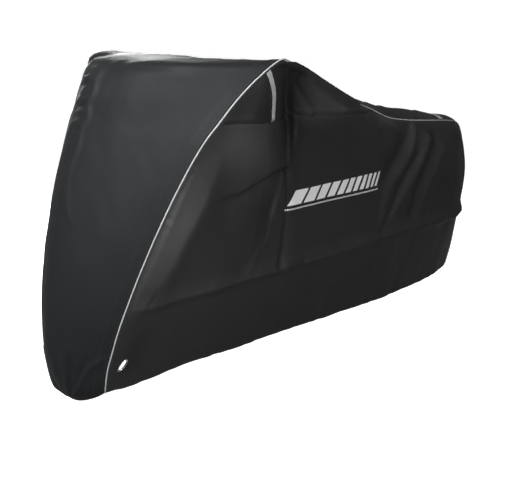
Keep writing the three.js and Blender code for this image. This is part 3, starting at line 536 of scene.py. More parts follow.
frontFolds = [
    ([(0, 1045, 6), (7, 1003, 7), (-5, 968, 6), (6, 930, 7), (-6, 893, 6), (8, 850, 6), (-2, 800, 5),
      (7, 752, 5), (0, 700, 4), (-22, 640, 3), (-50, 590, 2)], 9, 12),
    ([(15, 1004, 1), (60, 1010, 3.5), (110, 1003, 3.5), (165, 1012, 1)], 7, 7),
    ([(14, 984, -1), (70, 988, -3.5), (130, 980, -1.5)], 7, 7),
    ([(18, 947, 1), (60, 941, 4), (105, 945, 3.5), (150, 936, 1)], 6, 6),
    ([(22, 929, -1), (75, 923, -4), (140, 921, -1)], 6, 6),
    ([(12, 905, 1), (64, 908, 3.5), (118, 902, 1)], 7, 7),
    ([(10, 868, 1), (70, 877, 3), (130, 866, 1)], 8, 8),
    ([(12, 849, -1), (60, 856, -2.5), (115, 850, -1)], 8, 8),
    ([(8, 797, 1), (50, 806, 2.5), (95, 797, 1)], 8, 8),
    ([(-55, 172, 3), (-58, 100, 4), (-50, 30, 5)], 9, 9),
    ([(-84, 181, -3), (-72, 100, -4), (-55, 31, -4)], 8, 8),
    ([(-163, 171, 3), (-140, 153, 4), (-112, 115, 4), (-90, 75, 5), (-65, 37, 5)], 9, 9),
    ([(-128, 172, -2), (-104, 118, -3), (-76, 62, -3)], 9, 9),
    ([(70, 165, 3), (67, 95, 4), (52, 20, 5)], 10, 10),
    ([(150, 180, 3), (128, 115, 4), (74, 30, 4)], 9, 9),
    ([(104, 170, -2), (92, 110, -3), (66, 40, -3)], 9, 9),
    ([(0, 150, -3), (3, 90, -4), (0, 15, -5)], 14, 14),
    ([(90, 1067, 8), (210, 1068, 7), (330, 1068, 6)], 85, 85),
    ([(-330, 1000, -4), (-260, 850, -3), (-150, 720, -2)], 65, 65),
    ([(320, 1005, -4), (265, 845, -3), (160, 700, -2)], 65, 65),
    ([(-160, 560, 3), (-140, 430, 3), (-120, 300, 2)], 55, 55),
]
topFolds = [
    ([(330, -118, -5), (385, -140, -7), (436, -172, -6)], 10, 9),
    ([(352, -96, 5), (412, -128, 6), (468, -168, 5)], 10, 10),
    ([(392, -84, -6), (470, -118, -8), (537, -166, -7)], 12, 9),
    ([(440, -70, 6), (506, -112, 7), (572, -168, 6)], 10, 10),
    ([(505, -92, -5), (548, -124, -7), (590, -168, -6)], 9, 9),
    ([(540, -84, 4), (590, -126, 6), (624, -166, 5)], 9, 9),
    ([(575, -60, -5), (620, -110, -7), (660, -164, -5)], 11, 9),
    ([(660, -100, 4), (700, -134, 4), (722, -160, 3)], 10, 10),
    ([(420, 90, -6.5), (490, 118, -6.5), (560, 150, -5)], 20, 20),
    ([(600, 30, 5), (634, 78, 5), (660, 120, 5)], 20, 20),
    ([(-350, 60, -9.5), (-200, 105, -9.5), (-60, 110, -8)], 43, 43),
    ([(-330, -90, -9.5), (-186, -115, -9.5), (-40, -100, -8)], 43, 43),
    ([(-300, 0, 6.5), (-120, 6, 6.5), (60, 10, 6.5)], 38, 38),
]


foldCrispness, foldRound = 0.4, 4
foldShift = 8  # towards the rear, because the light comes from the front


def foldHeights(u, v, folds):
    height = np.zeros(u.shape)
    for points, leftWidth, rightWidth in folds:
        points = np.array(points, float)
        steps = max(2, int(lineLength(points[:, :2]) / 12))
        line = linePoints(points, np.linspace(0, len(points) - 1, steps + 1))
        reachOut = 3 * max(leftWidth, rightWidth)
        low, high = line.min(axis=0) - reachOut, line.max(axis=0) + reachOut
        near = (u > low[0]) & (u < high[0]) & (v > low[1]) & (v < high[1])
        pointU, pointV = u[near], v[near]
        best = np.full(pointU.shape, np.inf)
        sideways, peak = np.zeros(pointU.shape), np.zeros(pointU.shape)
        for start, end in zip(line[:-1], line[1:]):
            du, dv, dh = end - start
            part = np.clip(((pointU - start[0]) * du + (pointV - start[1]) * dv) / (du**2 + dv**2), 0, 1)
            offU, offV = pointU - start[0] - part * du, pointV - start[1] - part * dv
            distance = offU**2 + offV**2
            closer = distance < best
            best = np.where(closer, distance, best)
            sideways = np.where(closer, offV * du - offU * dv, sideways)
            peak = np.where(closer, start[2] + part * dh, peak)
        width = np.where(sideways > 0, leftWidth, rightWidth)
        crisp = np.exp((foldRound - np.sqrt(best + foldRound**2)) / (0.75 * width))
        height[near] += peak * lerp(np.exp(-best / width**2), crisp, foldCrispness)
    return height


# Broad dents and swells of the front panel: centre, width, height.
frontSwells = [
    ((-672, 268, 1046), 72, -42),
    ((-560, 345, 1072), 85, 10),
    ((-470, 420, 1072), 50, 7),
]


def swellHeights(rows, swells):
    return sum(
        height * np.exp(-((rows - np.array(centre)) ** 2).sum(axis=2) / width**2)
        for centre, width, height in swells
    )


# Small relief: gathers along the seams, laps, the turned hem and the cloth's own unevenness.
relief = {
    "midFlare": (10, 32, 17),  # how far the mid seams stand out, and the reach above and below them
    "tailFlare": (0.5, 150, 850),  # how much more they do at the tail, from and up to these places
    "upperValley": (1.8, 7),  # the cloth dips to the upper seam: depth, reach
    "overhang": (3.0, 13, 8),  # the shoulder hangs over that seam: height, how far up, width
    "groove": (3.0, 7.5),  # the edges dip under the piping: depth, reach
    "lap": (1.3, 9),  # the upper cloth's turned edge over a sewn seam: height, width
    "allowance": (1.0, 38),  # the cloth turned in behind the front piping: height, width
    "hemBand": (0.8, 22),
    "pipingGathers": (1.15, 30, 24),  # height, length of one, reach from the seam
    "seamGathers": (0.8, 34, 24),
    "hemGathers": (1.3, 62, 60),
    "slack": (1.5, 170),  # broad unevenness: height, length
    "crumple": (0.35, 48),
}


# Small cross folds along a seam, uneven in length and height.
def gathers(place, distance, height, length, reachOut, seed):
    chance = np.random.default_rng(seed)
    wave = np.zeros(place.shape)
    for part, share in ((1.0, 0.5), (0.71, 0.35), (1.47, 0.4)):
        wave += share * np.sin(2 * np.pi * (place / (length * part) + chance.random()))
    patches = 0.55 + 0.45 * np.sin(2 * np.pi * (place / (length * 6.3) + chance.random()))
    return height * wave * patches * np.exp(-((distance / reachOut) ** 2))


def unevenness(points, height, length, seed, stretch=(1, 1, 0.5)):
    chance = np.random.default_rng(seed)
    total = np.zeros(points.shape[:-1])
    for _ in range(14):
        direction = chance.normal(size=3)
        direction = direction / np.linalg.norm(direction) * stretch
        wavelength = length * chance.uniform(0.7, 1.6)
        total += np.sin(2 * np.pi * (points @ direction) / wavelength + chance.uniform(0, 2 * np.pi))
    return height * total / math.sqrt(7)


# Painted light and shade in the cloth's tone by place, set to come near the photo: paler where light falls
# on the shoulders and upper sides, darker over the seat, the skirt and a few spots. Place along and up,
# reach along and up, and how much paler it is there.
paintedLightSpots = {
    "skirt": [((0, 200), (900, 160), -0.1)],
    "side": [
        ((-550, 840), (105, 80), 1.3), ((-470, 760), (90, 60), 0.25), ((-140, 890), (220, 38), 1.2),
        ((870, 590), (100, 130), 0.9), ((-420, 560), (70, 90), -0.2),
    ],
    "shoulder": [
        ((-180, 930), (150, 85), 1.5), ((-10, 880), (110, 50), 1.3), ((-460, 915), (60, 40), -0.45),
    ],
    "top": [((450, 850), (150, 300), -0.38)],
}


# Fold heights over which the painted shade in troughs and the painted highlight on crests grow.
paintedFoldShadeLimits = {"trough": 36, "deep": 28, "darkest": 0.08, "crest": 45}  # heights that change the tone


# Painted light and shade: paler on the folds' crests, darker down in their troughs.
def paintedFoldShade(heights):
    trough = np.minimum(heights, 0)
    dark = np.exp(trough / paintedFoldShadeLimits["trough"] - (trough / paintedFoldShadeLimits["deep"]) ** 4)
    return np.maximum(dark, paintedFoldShadeLimits["darkest"]) * (1 + np.maximum(heights, 0) / paintedFoldShadeLimits["crest"])


# Painted light and shade: the cloth's tone raised or lowered about each spot.
def paintedLightAtSpots(panel, spots):
    x, z = panel.rows[..., 0], panel.rows[..., 2]
    tone = np.ones(x.shape)
    for (along, up), (alongReach, upReach), amount in spots:
        tone += amount * np.exp(-((x - along) / alongReach) ** 2 - ((z - up) / upReach) ** 2)
    return tone


def fade(panel):
    return smooth(panel.fields["piping"][0], *shape["foldFade"])


# What all the panels share, beside the piping and over their whole face.
def smallRelief(panel, seed):
    distance, place = panel.fields["piping"]
    depth, width = relief["groove"]
    height = gathers(place, distance, *relief["pipingGathers"], seed) * smooth(distance, 3, 12)
    height += unevenness(panel.rows, *relief["slack"], seed) * smooth(distance, 6, 60)
    height += unevenness(panel.rows, *relief["crumple"], seed + 1) * smooth(distance, 4, 30)
    return height - depth * (1 - smooth(distance, 0, width))


def lapHeight(distance):
    height, width = relief["lap"]
    return height * (1 - smooth(distance, width - 1.5, width + 1.5))


def upperSeamHeights(panel, isShoulder):
    distance = panel.fields["upper"][0]
    depth, reachOut = relief["upperValley"]
    height = -depth * np.exp(-((distance / reachOut) ** 2))
    if isShoulder:
        out, above, width = relief["overhang"]
        height += out * np.exp(-(((distance - above) / width) ** 2)) * smooth(distance, 0, 10)
    return height


# The skirt, side and shoulder of one side, folded, agreeing along the seams between them.
def foldedSide(sense, folds, seed):
    skirt, side, shoulder = (panel.onSide(sense) for panel in basePanels.values())
    shareSideNormals(skirt, side, shoulder)
    out, above, below = relief["midFlare"]
    more, flareFrom, flareTo = relief["tailFlare"]
    for name, panel, flareReach in (
        ("skirt", skirt, below), ("side", side, above), ("shoulder", shoulder, None),
    ):
        flare = 0 if flareReach is None else out * np.exp(-((panel.fields["mid"][0] / flareReach) ** 2))
        flare = flare * (1 + more * smooth(panel.rows[..., 0], flareFrom, flareTo))
        heights = foldHeights(panel.rows[..., 0] - foldShift, panel.rows[..., 2], folds)
        # Painted light and shade, from the folds' heights and from the spots where light falls.
        panel.shade = paintedFoldShade(heights * fade(panel)) * paintedLightAtSpots(panel, paintedLightSpots[name])
        heights += flare * smooth(panel.fields["piping"][0], 8, 80)
        if panel is not skirt:
            heights += upperSeamHeights(panel, panel is shoulder)
        panel.move(heights * fade(panel))
    shareSideNormals(skirt, side, shoulder)
    for panel, names in ((skirt, ("mid",)), (side, ("mid", "upper")), (shoulder, ("upper",))):
        heights = smallRelief(panel, seed)
        for name in names:
            distance, place = panel.fields[name]
            heights += gathers(place, distance, *relief["seamGathers"], seed + len(name)) * fade(panel)
        if panel is skirt:
            distance, place = panel.fields["hem"]
            heights += gathers(place, distance, *relief["hemGathers"], seed + 7) * fade(panel)
            height, width = relief["hemBand"]
            heights += height * (1 - smooth(distance, width - 1.5, width + 1.5))
        if panel is side:
            heights += lapHeight(panel.fields["mid"][0]) * smooth(panel.fields["piping"][0], 20, 120)
        if panel is shoulder:
            heights += lapHeight(panel.fields["upper"][0])
        panel.move(heights)
    return skirt, side, shoulder


def foldMiddle():
    front, top = frontPanel, topPanel
    frontFade, topFade = fade(front), fade(top)
    frontHeights = foldHeights(front.rows[..., 1], front.rows[..., 2], frontFolds) * frontFade
    # Painted shade and highlight from the front's folds.
    front.shade = paintedFoldShade(frontHeights)
    frontHeights += swellHeights(front.rows, frontSwells) * frontFade
    topHeights = foldHeights(top.rows[..., 0], top.rows[..., 1], topFolds) * topFade
    joint = smooth(top.rows[..., 0], -438, -380)
    carried = foldHeights(top.rows[..., 1], top.rows[..., 2] * 0 + 1066, frontFolds) * topFade
    topHeights = lerp(carried, topHeights, joint)
    # Painted shade and highlight from the top's folds, and painted shade over the seat.
    top.shade = paintedFoldShade(topHeights) * paintedLightAtSpots(top, paintedLightSpots["top"])
    front.move(frontHeights)
    top.move(topHeights)
    joinFrontToTop(front, top)
    frontSmall = smallRelief(front, 41)
    height, width = relief["allowance"]
    frontSmall += height * (1 - smooth(front.fields["piping"][0], width - 3, width + 3))
    front.move(frontSmall)
    top.move(smallRelief(top, 41))
    joinFrontToTop(front, top)
    return front, top


front, top = foldMiddle()
sides = {
    "left": (1, foldedSide(1, sideFolds["left"], 11)),
    "right": (-1, foldedSide(-1, sideFolds["right"], 83)),
}
print("folds laid in")


# Meshes
def newObject(name, vertices, faces, uv=None):
    mesh = bpy.data.meshes.new(name)
    mesh.from_pydata((np.asarray(vertices) * mm).tolist(), [], faces)
    if uv is not None:
        layer = mesh.uv_layers.new(name="cloth")
        corners = np.empty(len(mesh.loops), dtype=np.int32)
        mesh.loops.foreach_get("vertex_index", corners)
        layer.data.foreach_set("uv", (np.asarray(uv)[corners] * mm).ravel())
    piece = bpy.data.objects.new(name, mesh)
    bpy.context.collection.objects.link(piece)
    return piece


def smoothShade(piece, degrees=40):
    bpy.ops.object.select_all(action="DESELECT")
    piece.select_set(True)
    bpy.context.view_layer.objects.active = piece
    bpy.ops.object.shade_smooth_by_angle(angle=math.radians(degrees))
    piece.select_set(False)


def setField(piece, name, values):
    attribute = piece.data.attributes.new(name, "FLOAT", "POINT")
    attribute.data.foreach_set("value", np.asarray(values, float).ravel())


# Each point's place on the flat cloth, along and up, in millimetres.
def clothLengths(panel):
    rows = panel.rows
    middle = rows.shape[0] // 2
    column = rows.shape[1] // 2
    along, up = lengthsAlong(rows[middle]), lengthsAlong(rows[:, column])
    return np.stack(np.broadcast_arrays(along[None], up[:, None]), axis=2)


# A closed sheet of the cloth's thickness about a panel's middle surface.
def makeSheet(name, panel, keep=None, thickness=shape["clothThickness"]):
    rowCount, columnCount = panel.rows.shape[:2]
    half = thickness / 2
    layers = [panel.rows + panel.normals * half, panel.rows - panel.normals * half]
    index = np.arange(rowCount * columnCount).reshape(rowCount, columnCount)
    layer = rowCount * columnCount
    keep = np.ones((rowCount - 1, columnCount - 1), bool) if keep is None else keep
    a, b = index[:-1, :-1][keep], index[:-1, 1:][keep]
    c, d = index[1:, 1:][keep], index[1:, :-1][keep]
    outer = np.stack([a, b, c, d], axis=1)
    inner = outer[:, ::-1] + layer
    walls = []
    wide = np.pad(keep, 1)
    low = wide[1:, 1:-1] & ~wide[:-1, 1:-1]  # cells whose lower edge is open
    high = wide[:-1, 1:-1] & ~wide[1:, 1:-1]
    left = wide[1:-1, 1:] & ~wide[1:-1, :-1]
    right = wide[1:-1, :-1] & ~wide[1:-1, 1:]
    for start, end, where in (
        (index[:, :-1], index[:, 1:], low), (index[:, 1:], index[:, :-1], high),
        (index[1:, :], index[:-1, :], left), (index[:-1, :], index[1:, :], right),
    ):
        one, two = start[where], end[where]
        walls.append(np.stack([two, one, one + layer, two + layer], axis=1))
    faces = np.concatenate([outer, inner, *walls])
    if panel.sense == -1:
        faces = faces[:, ::-1]
    used = np.zeros(2 * layer, bool)
    used[faces] = True
    renumber = np.cumsum(used) - 1
    vertices = np.concatenate([part.reshape(-1, 3) for part in layers])[used]
    uv = np.tile(clothLengths(panel).reshape(-1, 2), (2, 1))[used]
    piece = newObject(name, vertices, renumber[faces].tolist(), uv)
    distance = np.tile(np.minimum(panel.fields["piping"][0], 200).ravel(), 2)[used]
    setField(piece, "pipingDistance", distance * mm)
    inside = np.repeat([0.0, 1.0], layer)[used]
    setField(piece, "inside", inside)
    # The painted light and shade go on the sheet as a point attribute.
    setField(piece, "paintedShade", np.tile(panel.shade.ravel(), 2)[used])
    smoothShade(piece)
    return piece


# Runs a sheet on past a sewn edge, below the one that laps over it.
def tuckUnder(panel, length=5, depth=1.5):
    rows = panel.rows
    onward = unit(rows[-1] - rows[-2])
    extra = rows[-1] + onward * length - panel.normals[-1] * depth
    panel.rows = np.concatenate([rows, extra[None]])
    panel.shade = np.vstack([panel.shade, panel.shade[-1:]])
    panel.fields = {
        name: (np.vstack([distance, distance[-1:]]), np.vstack([place, place[-1:]]))
        for name, (distance, place) in panel.fields.items()
    }
    panel.refresh()


# Draws a panel's chosen edges in by half the gap beside the next cloth.
def drawIn(panel, edges):
    rows = panel.rows
    for edge, inner in edges:
        rows[edge] += unit(rows[inner] - rows[edge]) * shape["seamGap"]


lastRow, innerRow = np.s_[-1, :], np.s_[-2, :]
firstColumn, secondColumn = np.s_[:, 0], np.s_[:, 1]
lastColumn, innerColumn = np.s_[:, -1], np.s_[:, -2]


# Eyelets: where each one sits comes from its place in the frame.
eyelet = {
    "hole": 16.6,
    "rim": 21.4,
    "barrel": 17.6,
    "stretch": (0.58, 1.18),  # across and up
    "lean": 27,  # how far its top leans to the rear, in degrees
    "roundHeight": 2.4,
    "seatHeight": 0.75,  # half the thickness of cloth that it grips
    "washer": 1.1,
    "steps": 64,
    "flatReach": 31.0,  # the cloth lies flat this far from its middle
    "blendReach": 62.0,
    "clothHole": 18.8,
    "depth": 60,  # cloth further in or out than this belongs to the other side
}


def eyeletPlace(sideName):
    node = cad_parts["eyelet_" + sideName]
    points = np.array([vertex.co for vertex in node.data.vertices]) / mm
    low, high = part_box("eyelet_" + sideName)
    centre = (np.array(low) + np.array(high)) / 2 / mm
    axis = np.linalg.svd(points - points.mean(axis=0), full_matrices=False)[2][2]
    outward = -1 if sideName == "left" else 1
    axis = axis * np.sign(axis[1]) * outward
    lean = math.radians(eyelet["lean"])
    upward = np.array([math.sin(lean), 0, math.cos(lean)])
    upward -= (upward @ axis) * axis
    upward /= np.linalg.norm(upward)
    return centre, np.stack([np.cross(upward, axis), upward, axis])


# Where points lie by the eyelet: across, up and out, as if it were still round.
def eyeletOffsets(points, centre, axes):
    offset = (points - centre) @ axes.T
    across, upward = (offset[..., index] / eyelet["stretch"][index] for index in (0, 1))
    return np.hypot(across, upward), offset[..., 2]


# Lays the skirt flat around its eyelet and says which cells stay.
def cutForEyelet(skirt, centre, axes):
    radius, height = eyeletOffsets(skirt.rows, centre, axes)
    near = np.abs(height) < eyelet["depth"]
    weight = (1 - smooth(radius, eyelet["flatReach"], eyelet["blendReach"])) * near
    skirt.rows = skirt.rows - (height * weight)[..., None] * axes[2]
    cells = (skirt.rows[:-1, :-1] + skirt.rows[1:, 1:] + skirt.rows[1:, :-1] + skirt.rows[:-1, 1:]) / 4
    cellRadius, cellHeight = eyeletOffsets(cells, centre, axes)
    keep = (cellRadius > eyelet["clothHole"]) | (np.abs(cellHeight) > eyelet["depth"])
    radius, height = eyeletOffsets(skirt.rows, centre, axes)
    inside = (radius < eyelet["clothHole"]) & (radius > 1) & (np.abs(height) < eyelet["depth"])
    flat = skirt.rows - centre - height[..., None] * axes[2]
    push = flat * (eyelet["clothHole"] / np.maximum(radius, 1) - 1)[..., None]
    skirt.rows = skirt.rows + push * inside[..., None]
    skirt.refresh()
    return keep


def eyeletProfile():
    hole, rim, barrel, seat = (eyelet[name] for name in ("hole", "rim", "barrel", "seatHeight"))
    back = seat + eyelet["washer"]
    middle, reachOut = (hole + rim) / 2, (rim - hole) / 2
    profile = []
    for step in range(11):
        angle = math.pi * (1 - step / 10)
        round_ = eyelet["roundHeight"] * math.sin(angle) ** 0.8 if 0 < step < 10 else 0
        profile.append((middle + reachOut * math.cos(angle), seat + round_))
    profile += [
        (rim - 0.5, seat - 0.1), (barrel, seat - 0.1), (barrel, -seat + 0.1), (rim - 0.5, -seat + 0.1),
        (rim, -seat - 0.3), (rim - 0.6, -back), (hole + 1.4, -back - 0.3), (hole + 0.3, -back + 0.2),
    ]
    return profile + [profile[0]]


def makeEyelet(sideName, centre, axes):
    profile = eyeletProfile()
    radius, height = profile[0]
    bpy.ops.object.select_all(action="DESELECT")
    bpy.ops.mesh.primitive_circle_add(
        vertices=eyelet["steps"], radius=radius * mm, fill_type="NOTHING", location=(0, 0, height * mm))
    piece = bpy.context.object
    piece.name = piece.data.name = "eyelet" + sideName.capitalize()
    bpy.ops.object.mode_set(mode="EDIT")
    bpy.ops.mesh.select_all(action="SELECT")
    for nextRadius, nextHeight in profile[1:]:
        lift = (0, 0, (nextHeight - height) * mm)
        bpy.ops.mesh.extrude_region_move(TRANSFORM_OT_translate={"value": lift})
        grow = nextRadius / radius
        bpy.ops.transform.resize(value=(grow, grow, 1), center_override=(0, 0, nextHeight * mm))
        radius, height = nextRadius, nextHeight
    bpy.ops.mesh.select_all(action="SELECT")
    bpy.ops.mesh.remove_doubles(threshold=0.00001)
    bpy.ops.mesh.normals_make_consistent(inside=False)
    bpy.ops.object.mode_set(mode="OBJECT")
    turn = Matrix(axes.T.tolist()).to_4x4()
    stretch = Matrix.Diagonal((*eyelet["stretch"], 1, 1))
    piece.matrix_world = Matrix.Translation(Vector(centre * mm)) @ turn @ stretch
    bpy.ops.object.transform_apply(location=True, rotation=True, scale=True)
    smoothShade(piece, 50)
    return piece


pieces = {}
places = {sideName: eyeletPlace(sideName) for sideName in sides}
outerPanels = {"front": front, "top": top}
for panel in (front, top):
    drawIn(panel, [(firstColumn, secondColumn), (lastColumn, innerColumn)])
pieces["frontPanel"] = makeSheet("frontPanel", front)
pieces["topPanel"] = makeSheet("topPanel", top)
for sideName, (sense, (skirt, side, shoulder)) in sides.items():
    keep = cutForEyelet(skirt, *places[sideName])
    for panel in (skirt, side, shoulder):
        drawIn(panel, [(firstColumn, secondColumn)])
    drawIn(skirt, [(lastColumn, innerColumn)])
    drawIn(side, [(lastColumn, innerColumn), (lastRow, innerRow)])
    drawIn(shoulder, [(lastRow, innerRow)])
    tuckUnder(skirt)
    keep = np.vstack([keep, np.ones((1, keep.shape[1]), bool)])
    ending = sideName.capitalize()
    pieces["skirt" + ending] = makeSheet("skirt" + ending, skirt, keep)
    pieces["side" + ending] = makeSheet("side" + ending, side)
    pieces["shoulder" + ending] = makeSheet("shoulder" + ending, shoulder)
    pieces["eyelet" + ending] = makeEyelet(sideName, *places[sideName])
    outerPanels.update({"skirt" + ending: skirt, "side" + ending: side, "shoulder" + ending: shoulder})
print("sheets made:", {name: len(piece.data.polygons) for name, piece in pieces.items()})


# Piping: a cord wrapped in light tape, along the edge that two panels share.
piping = {"radius": 2.25, "lift": 1.3, "step": 5.5, "sides": 14, "wrap": 0.12, "wrapLength": 9.0}


# The seam's line, and the way out of the cloth beside it.
def pipingRoute(sideName, skirt, side, shoulder):
    knots = np.concatenate([frontKnots, backKnots[1:]])
    line = linePoints(longSeam, knots)
    sense = 1 if sideName == "left" else -1
    line[:, 1] *= sense
    edge = 0 if sense == 1 else -1
    middle = np.vstack([front.normals[:, edge], top.normals[1:, edge]])
    skirtNormals = skirt.normals[:-1]
    outer = np.vstack([
        skirtNormals[:, 0], side.normals[1:, 0], shoulder.normals[1:, 0],
        shoulder.normals[-1, 1:], side.normals[-1, joinColumn + 1:],
        side.normals[-2::-1, -1], skirtNormals[-2::-1, -1],
    ])
    return line, middle + outer


# A cord with slanted wraps, so that it swells a little in turn.
def tube(name, line, up, radius, sides, wrap, wrapLength):
    along = unit(np.gradient(line, axis=0))
    across = unit(np.cross(along, up))
    outward = np.cross(across, along)
    lengths = lengthsAlong(line)
    angles = np.arange(sides) / sides * 2 * np.pi
    swell = radius * (1 + wrap * 0.5 * np.sin(2 * np.pi * lengths[:, None] / wrapLength + angles))
    cosine, sine = np.cos(angles)[None, :, None], np.sin(angles)[None, :, None]
    ring = cosine * outward[:, None] + sine * across[:, None]
    points = line[:, None] + ring * swell[..., None]
    count = len(line)
    index = np.arange(count * sides).reshape(count, sides)
    turned = np.roll(index, -1, axis=1)
    faces = np.stack([index[:-1], turned[:-1], turned[1:], index[1:]], axis=2).reshape(-1, 4)
    ends = [index[0, ::-1].tolist(), index[-1].tolist()]
    uv = np.stack(np.broadcast_arrays(lengths[:, None], angles[None] * radius), axis=2).reshape(-1, 2)
    return newObject(name, points.reshape(-1, 3), faces.tolist() + ends, uv)


# Evens out a line's normals, so that the cord doesn't twist where panels meet.
def evened(normals, passes=6):
    for _ in range(passes):
        wide = np.pad(normals, ((1, 1), (0, 0)), mode="edge")
        normals = unit(wide[:-2] + 2 * wide[1:-1] + wide[2:])
    return normals


for sideName, (sense, (skirt, side, shoulder)) in sides.items():
    line, up = pipingRoute(sideName, skirt, side, shoulder)
    up = evened(up)
    lengths = lengthsAlong(line)
    even = np.arange(0, lengths[-1], piping["step"])
    line, up = (between(even, lengths, values) for values in (line, up))
    name = "piping" + sideName.capitalize()
    line = line + up * piping["lift"]
    pieces[name] = tube(name, line, up, *(piping[key] for key in ("radius", "sides", "wrap", "wrapLength")))
    smoothShade(pieces[name], 60)
print("piping made")


# Thin pieces laid on the cloth: reflective tape and the bars on the left side.
tapes = {
    "width": 18,
    "thickness": 0.5,
    "lift": 0.35,
    "clear": 7.0,  # kept from the middle of the piping
    "shoulderLine": [(-494, 1048), (-462, 1005), (-440, 970), (-428, 930), (-421, 870)],  # x, z
    "tailAt": 750,
    "tailWidth": 32,
}
bars = {
    "widths": (66, 54, 46, 40, 34, 30, 26, 22, 19, 16, 14),
    "gap": 13,
    "start": -314,  # x of the first bar's lower corner
    "low": 598,
    "high": 645,
    "slant": 38,
    "thickness": 0.2,
    "lift": 0.12,
    "lineDashes": (50, 6.4, 3.9),  # dashes under the bars: how many, how long, how far apart
    "lineLow": 583,
    "lineHigh": 588,
}


def skinTree(panel):
    points = panel.rows + panel.normals * (shape["clothThickness"] / 2)
    rowCount, columnCount = points.shape[:2]
    index = np.arange(rowCount * columnCount).reshape(rowCount, columnCount)
    quads = np.stack([index[:-1, :-1], index[:-1, 1:], index[1:, 1:], index[1:, :-1]], axis=2)
    return BVHTree.FromPolygons(points.reshape(-1, 3).tolist(), quads.reshape(-1, 4).tolist())


# Where lines along one axis meet the cloth, as rows of points, or None where they miss it.
def projected(tree, origins, direction):
    found = []
    for origin in origins:
        hit = tree.ray_cast(Vector(origin), Vector(direction))[0]
        found.append(None if hit is None else np.array(hit))
    return found


# A closed thin sheet over a grid of points on the cloth.
def makePatch(name, rows, outward, thickness, lift):
    panel = Panel(rows, 1)
    if (panel.normals @ np.array(outward)).mean() < 0:
        panel = Panel(rows, -1)
    panel.rows = panel.rows + panel.normals * (lift + thickness / 2)
    panel.fields = {"piping": (np.full(rows.shape[:2], 200.0), np.zeros(rows.shape[:2]))}
    return makeSheet(name, panel, thickness=thickness)


# Leaves out the points where a line missed the cloth, and those beside the piping.
def clearOfPiping(hits):
    points = np.array([hit for hit in hits if hit is not None])
    nearest = [seams["piping"][0].find((x, -abs(y), z))[2] for x, y, z in points]
    return points[np.array(nearest) > tapes["clear"]]


# The tape on a shoulder, cut off along the cloth's edges.
def makeShoulderStrip(sideName, shoulder):
    sense = -1 if sideName == "left" else 1
    tree = skinTree(shoulder)
    line = linePoints(np.array(tapes["shoulderLine"], float), np.linspace(0, 4, 161))
    along = unit(np.gradient(line, axis=0))
    columns = []
    for offset in np.linspace(-0.5, 0.5, 6) * tapes["width"]:
        x, z = line[:, 0] - along[:, 1] * offset, line[:, 1] + along[:, 0] * offset
        origins = np.stack([x, np.full(x.shape, sense * 600.0), z], axis=1)
        points = clearOfPiping(projected(tree, origins, (0, -sense, 0)))
        lengths = lengthsAlong(points)
        even = np.linspace(0, lengths[-1], 45)
        columns.append(between(even, lengths, points))
    rows = np.stack(columns, axis=1)
    ending = sideName.capitalize()
    return makePatch("shoulderStrip" + ending, rows, (0, sense, 0), tapes["thickness"], tapes["lift"])


def makeTailStrip(top):
    tree = skinTree(top)
    rows = []
    for x in tapes["tailAt"] + np.linspace(-0.5, 0.5, 7) * tapes["tailWidth"]:
        y = np.linspace(-176, 176, 71)
        origins = np.stack([np.full(y.shape, x), y, np.full(y.shape, 1200.0)], axis=1)
        points = clearOfPiping(projected(tree, origins, (0, 0, -1)))
        even = np.linspace(points[0, 1], points[-1, 1], 60)
        rows.append(between(even, points[:, 1], points))
    return makePatch("tailStrip", np.array(rows), (0, 0, 1), tapes["thickness"], tapes["lift"])


# Slanted reflective bars that shorten towards the rear, over a thin broken line.
def makeBars(side):
    tree = skinTree(side)
    outlines = []
    x = bars["start"]
    slope = bars["slant"] / (bars["high"] - bars["low"])
    for width in bars["widths"]:
        outlines.append((x, width, bars["low"], bars["high"], 8))
        x += width + bars["gap"]
    count, length, apart = bars["lineDashes"]
    for dash in range(count):
        x = bars["start"] + dash * (length + apart)
        outlines.append((x, length, bars["lineLow"], bars["lineHigh"], 2))
    made = []
    for start, width, low, high, upSteps in outlines:
        grid = []
        for up in np.linspace(0, 1, upSteps + 1):
            z = lerp(low, high, up)
            across = start + slope * (z - bars["low"]) + np.linspace(0, width, max(2, round(width / 6)) + 1)
            origins = np.stack([across, np.full(across.shape, -600.0), np.full(across.shape, z)], axis=1)
            grid.append(projected(tree, origins, (0, 1, 0)))
        made.append(makePatch("bar", np.array(grid), (0, -1, 0), bars["thickness"], bars["lift"]))
    return joined("sideBars", made)


def joined(name, parts):
    bpy.ops.object.select_all(action="DESELECT")
    for part in parts:
        part.select_set(True)
    bpy.context.view_layer.objects.active = parts[0]
    bpy.ops.object.join()
    parts[0].name = parts[0].data.name = name
    parts[0].select_set(False)
    return parts[0]


for sideName, (sense, (skirt, side, shoulder)) in sides.items():
    pieces["shoulderStrip" + sideName.capitalize()] = makeShoulderStrip(sideName, shoulder)
pieces["tailStrip"] = makeTailStrip(top)
pieces["sideBars"] = makeBars(sides["left"][1][1])
print("tapes and bars laid on")


# Sewing: short threads along the seams, each a slim six-sided spindle half sunk in the cloth.
sewing = {"length": 3.0, "pitch": 4.2, "radius": 0.34, "sink": 0.12}
sewingLines = {
    # panel: seam field, its distances, and the edge that the line is found from
    "front": (("piping", 9.0, "columns"), ("piping", 36.0, "columns")),
    "top": (("piping", 9.0, "columns"),),
    "skirt": (("piping", 9.0, "start"), ("piping", 9.0, "end"), ("hem", 19.0, "first")),
    "side": (
        ("piping", 9.0, "start"), ("piping", 9.0, "end"), ("mid", 3.0, "first"), ("mid", 7.5, "first"),
    ),
    "shoulder": (("piping", 9.0, "start"), ("upper", 3.0, "first"), ("upper", 7.5, "first")),
}


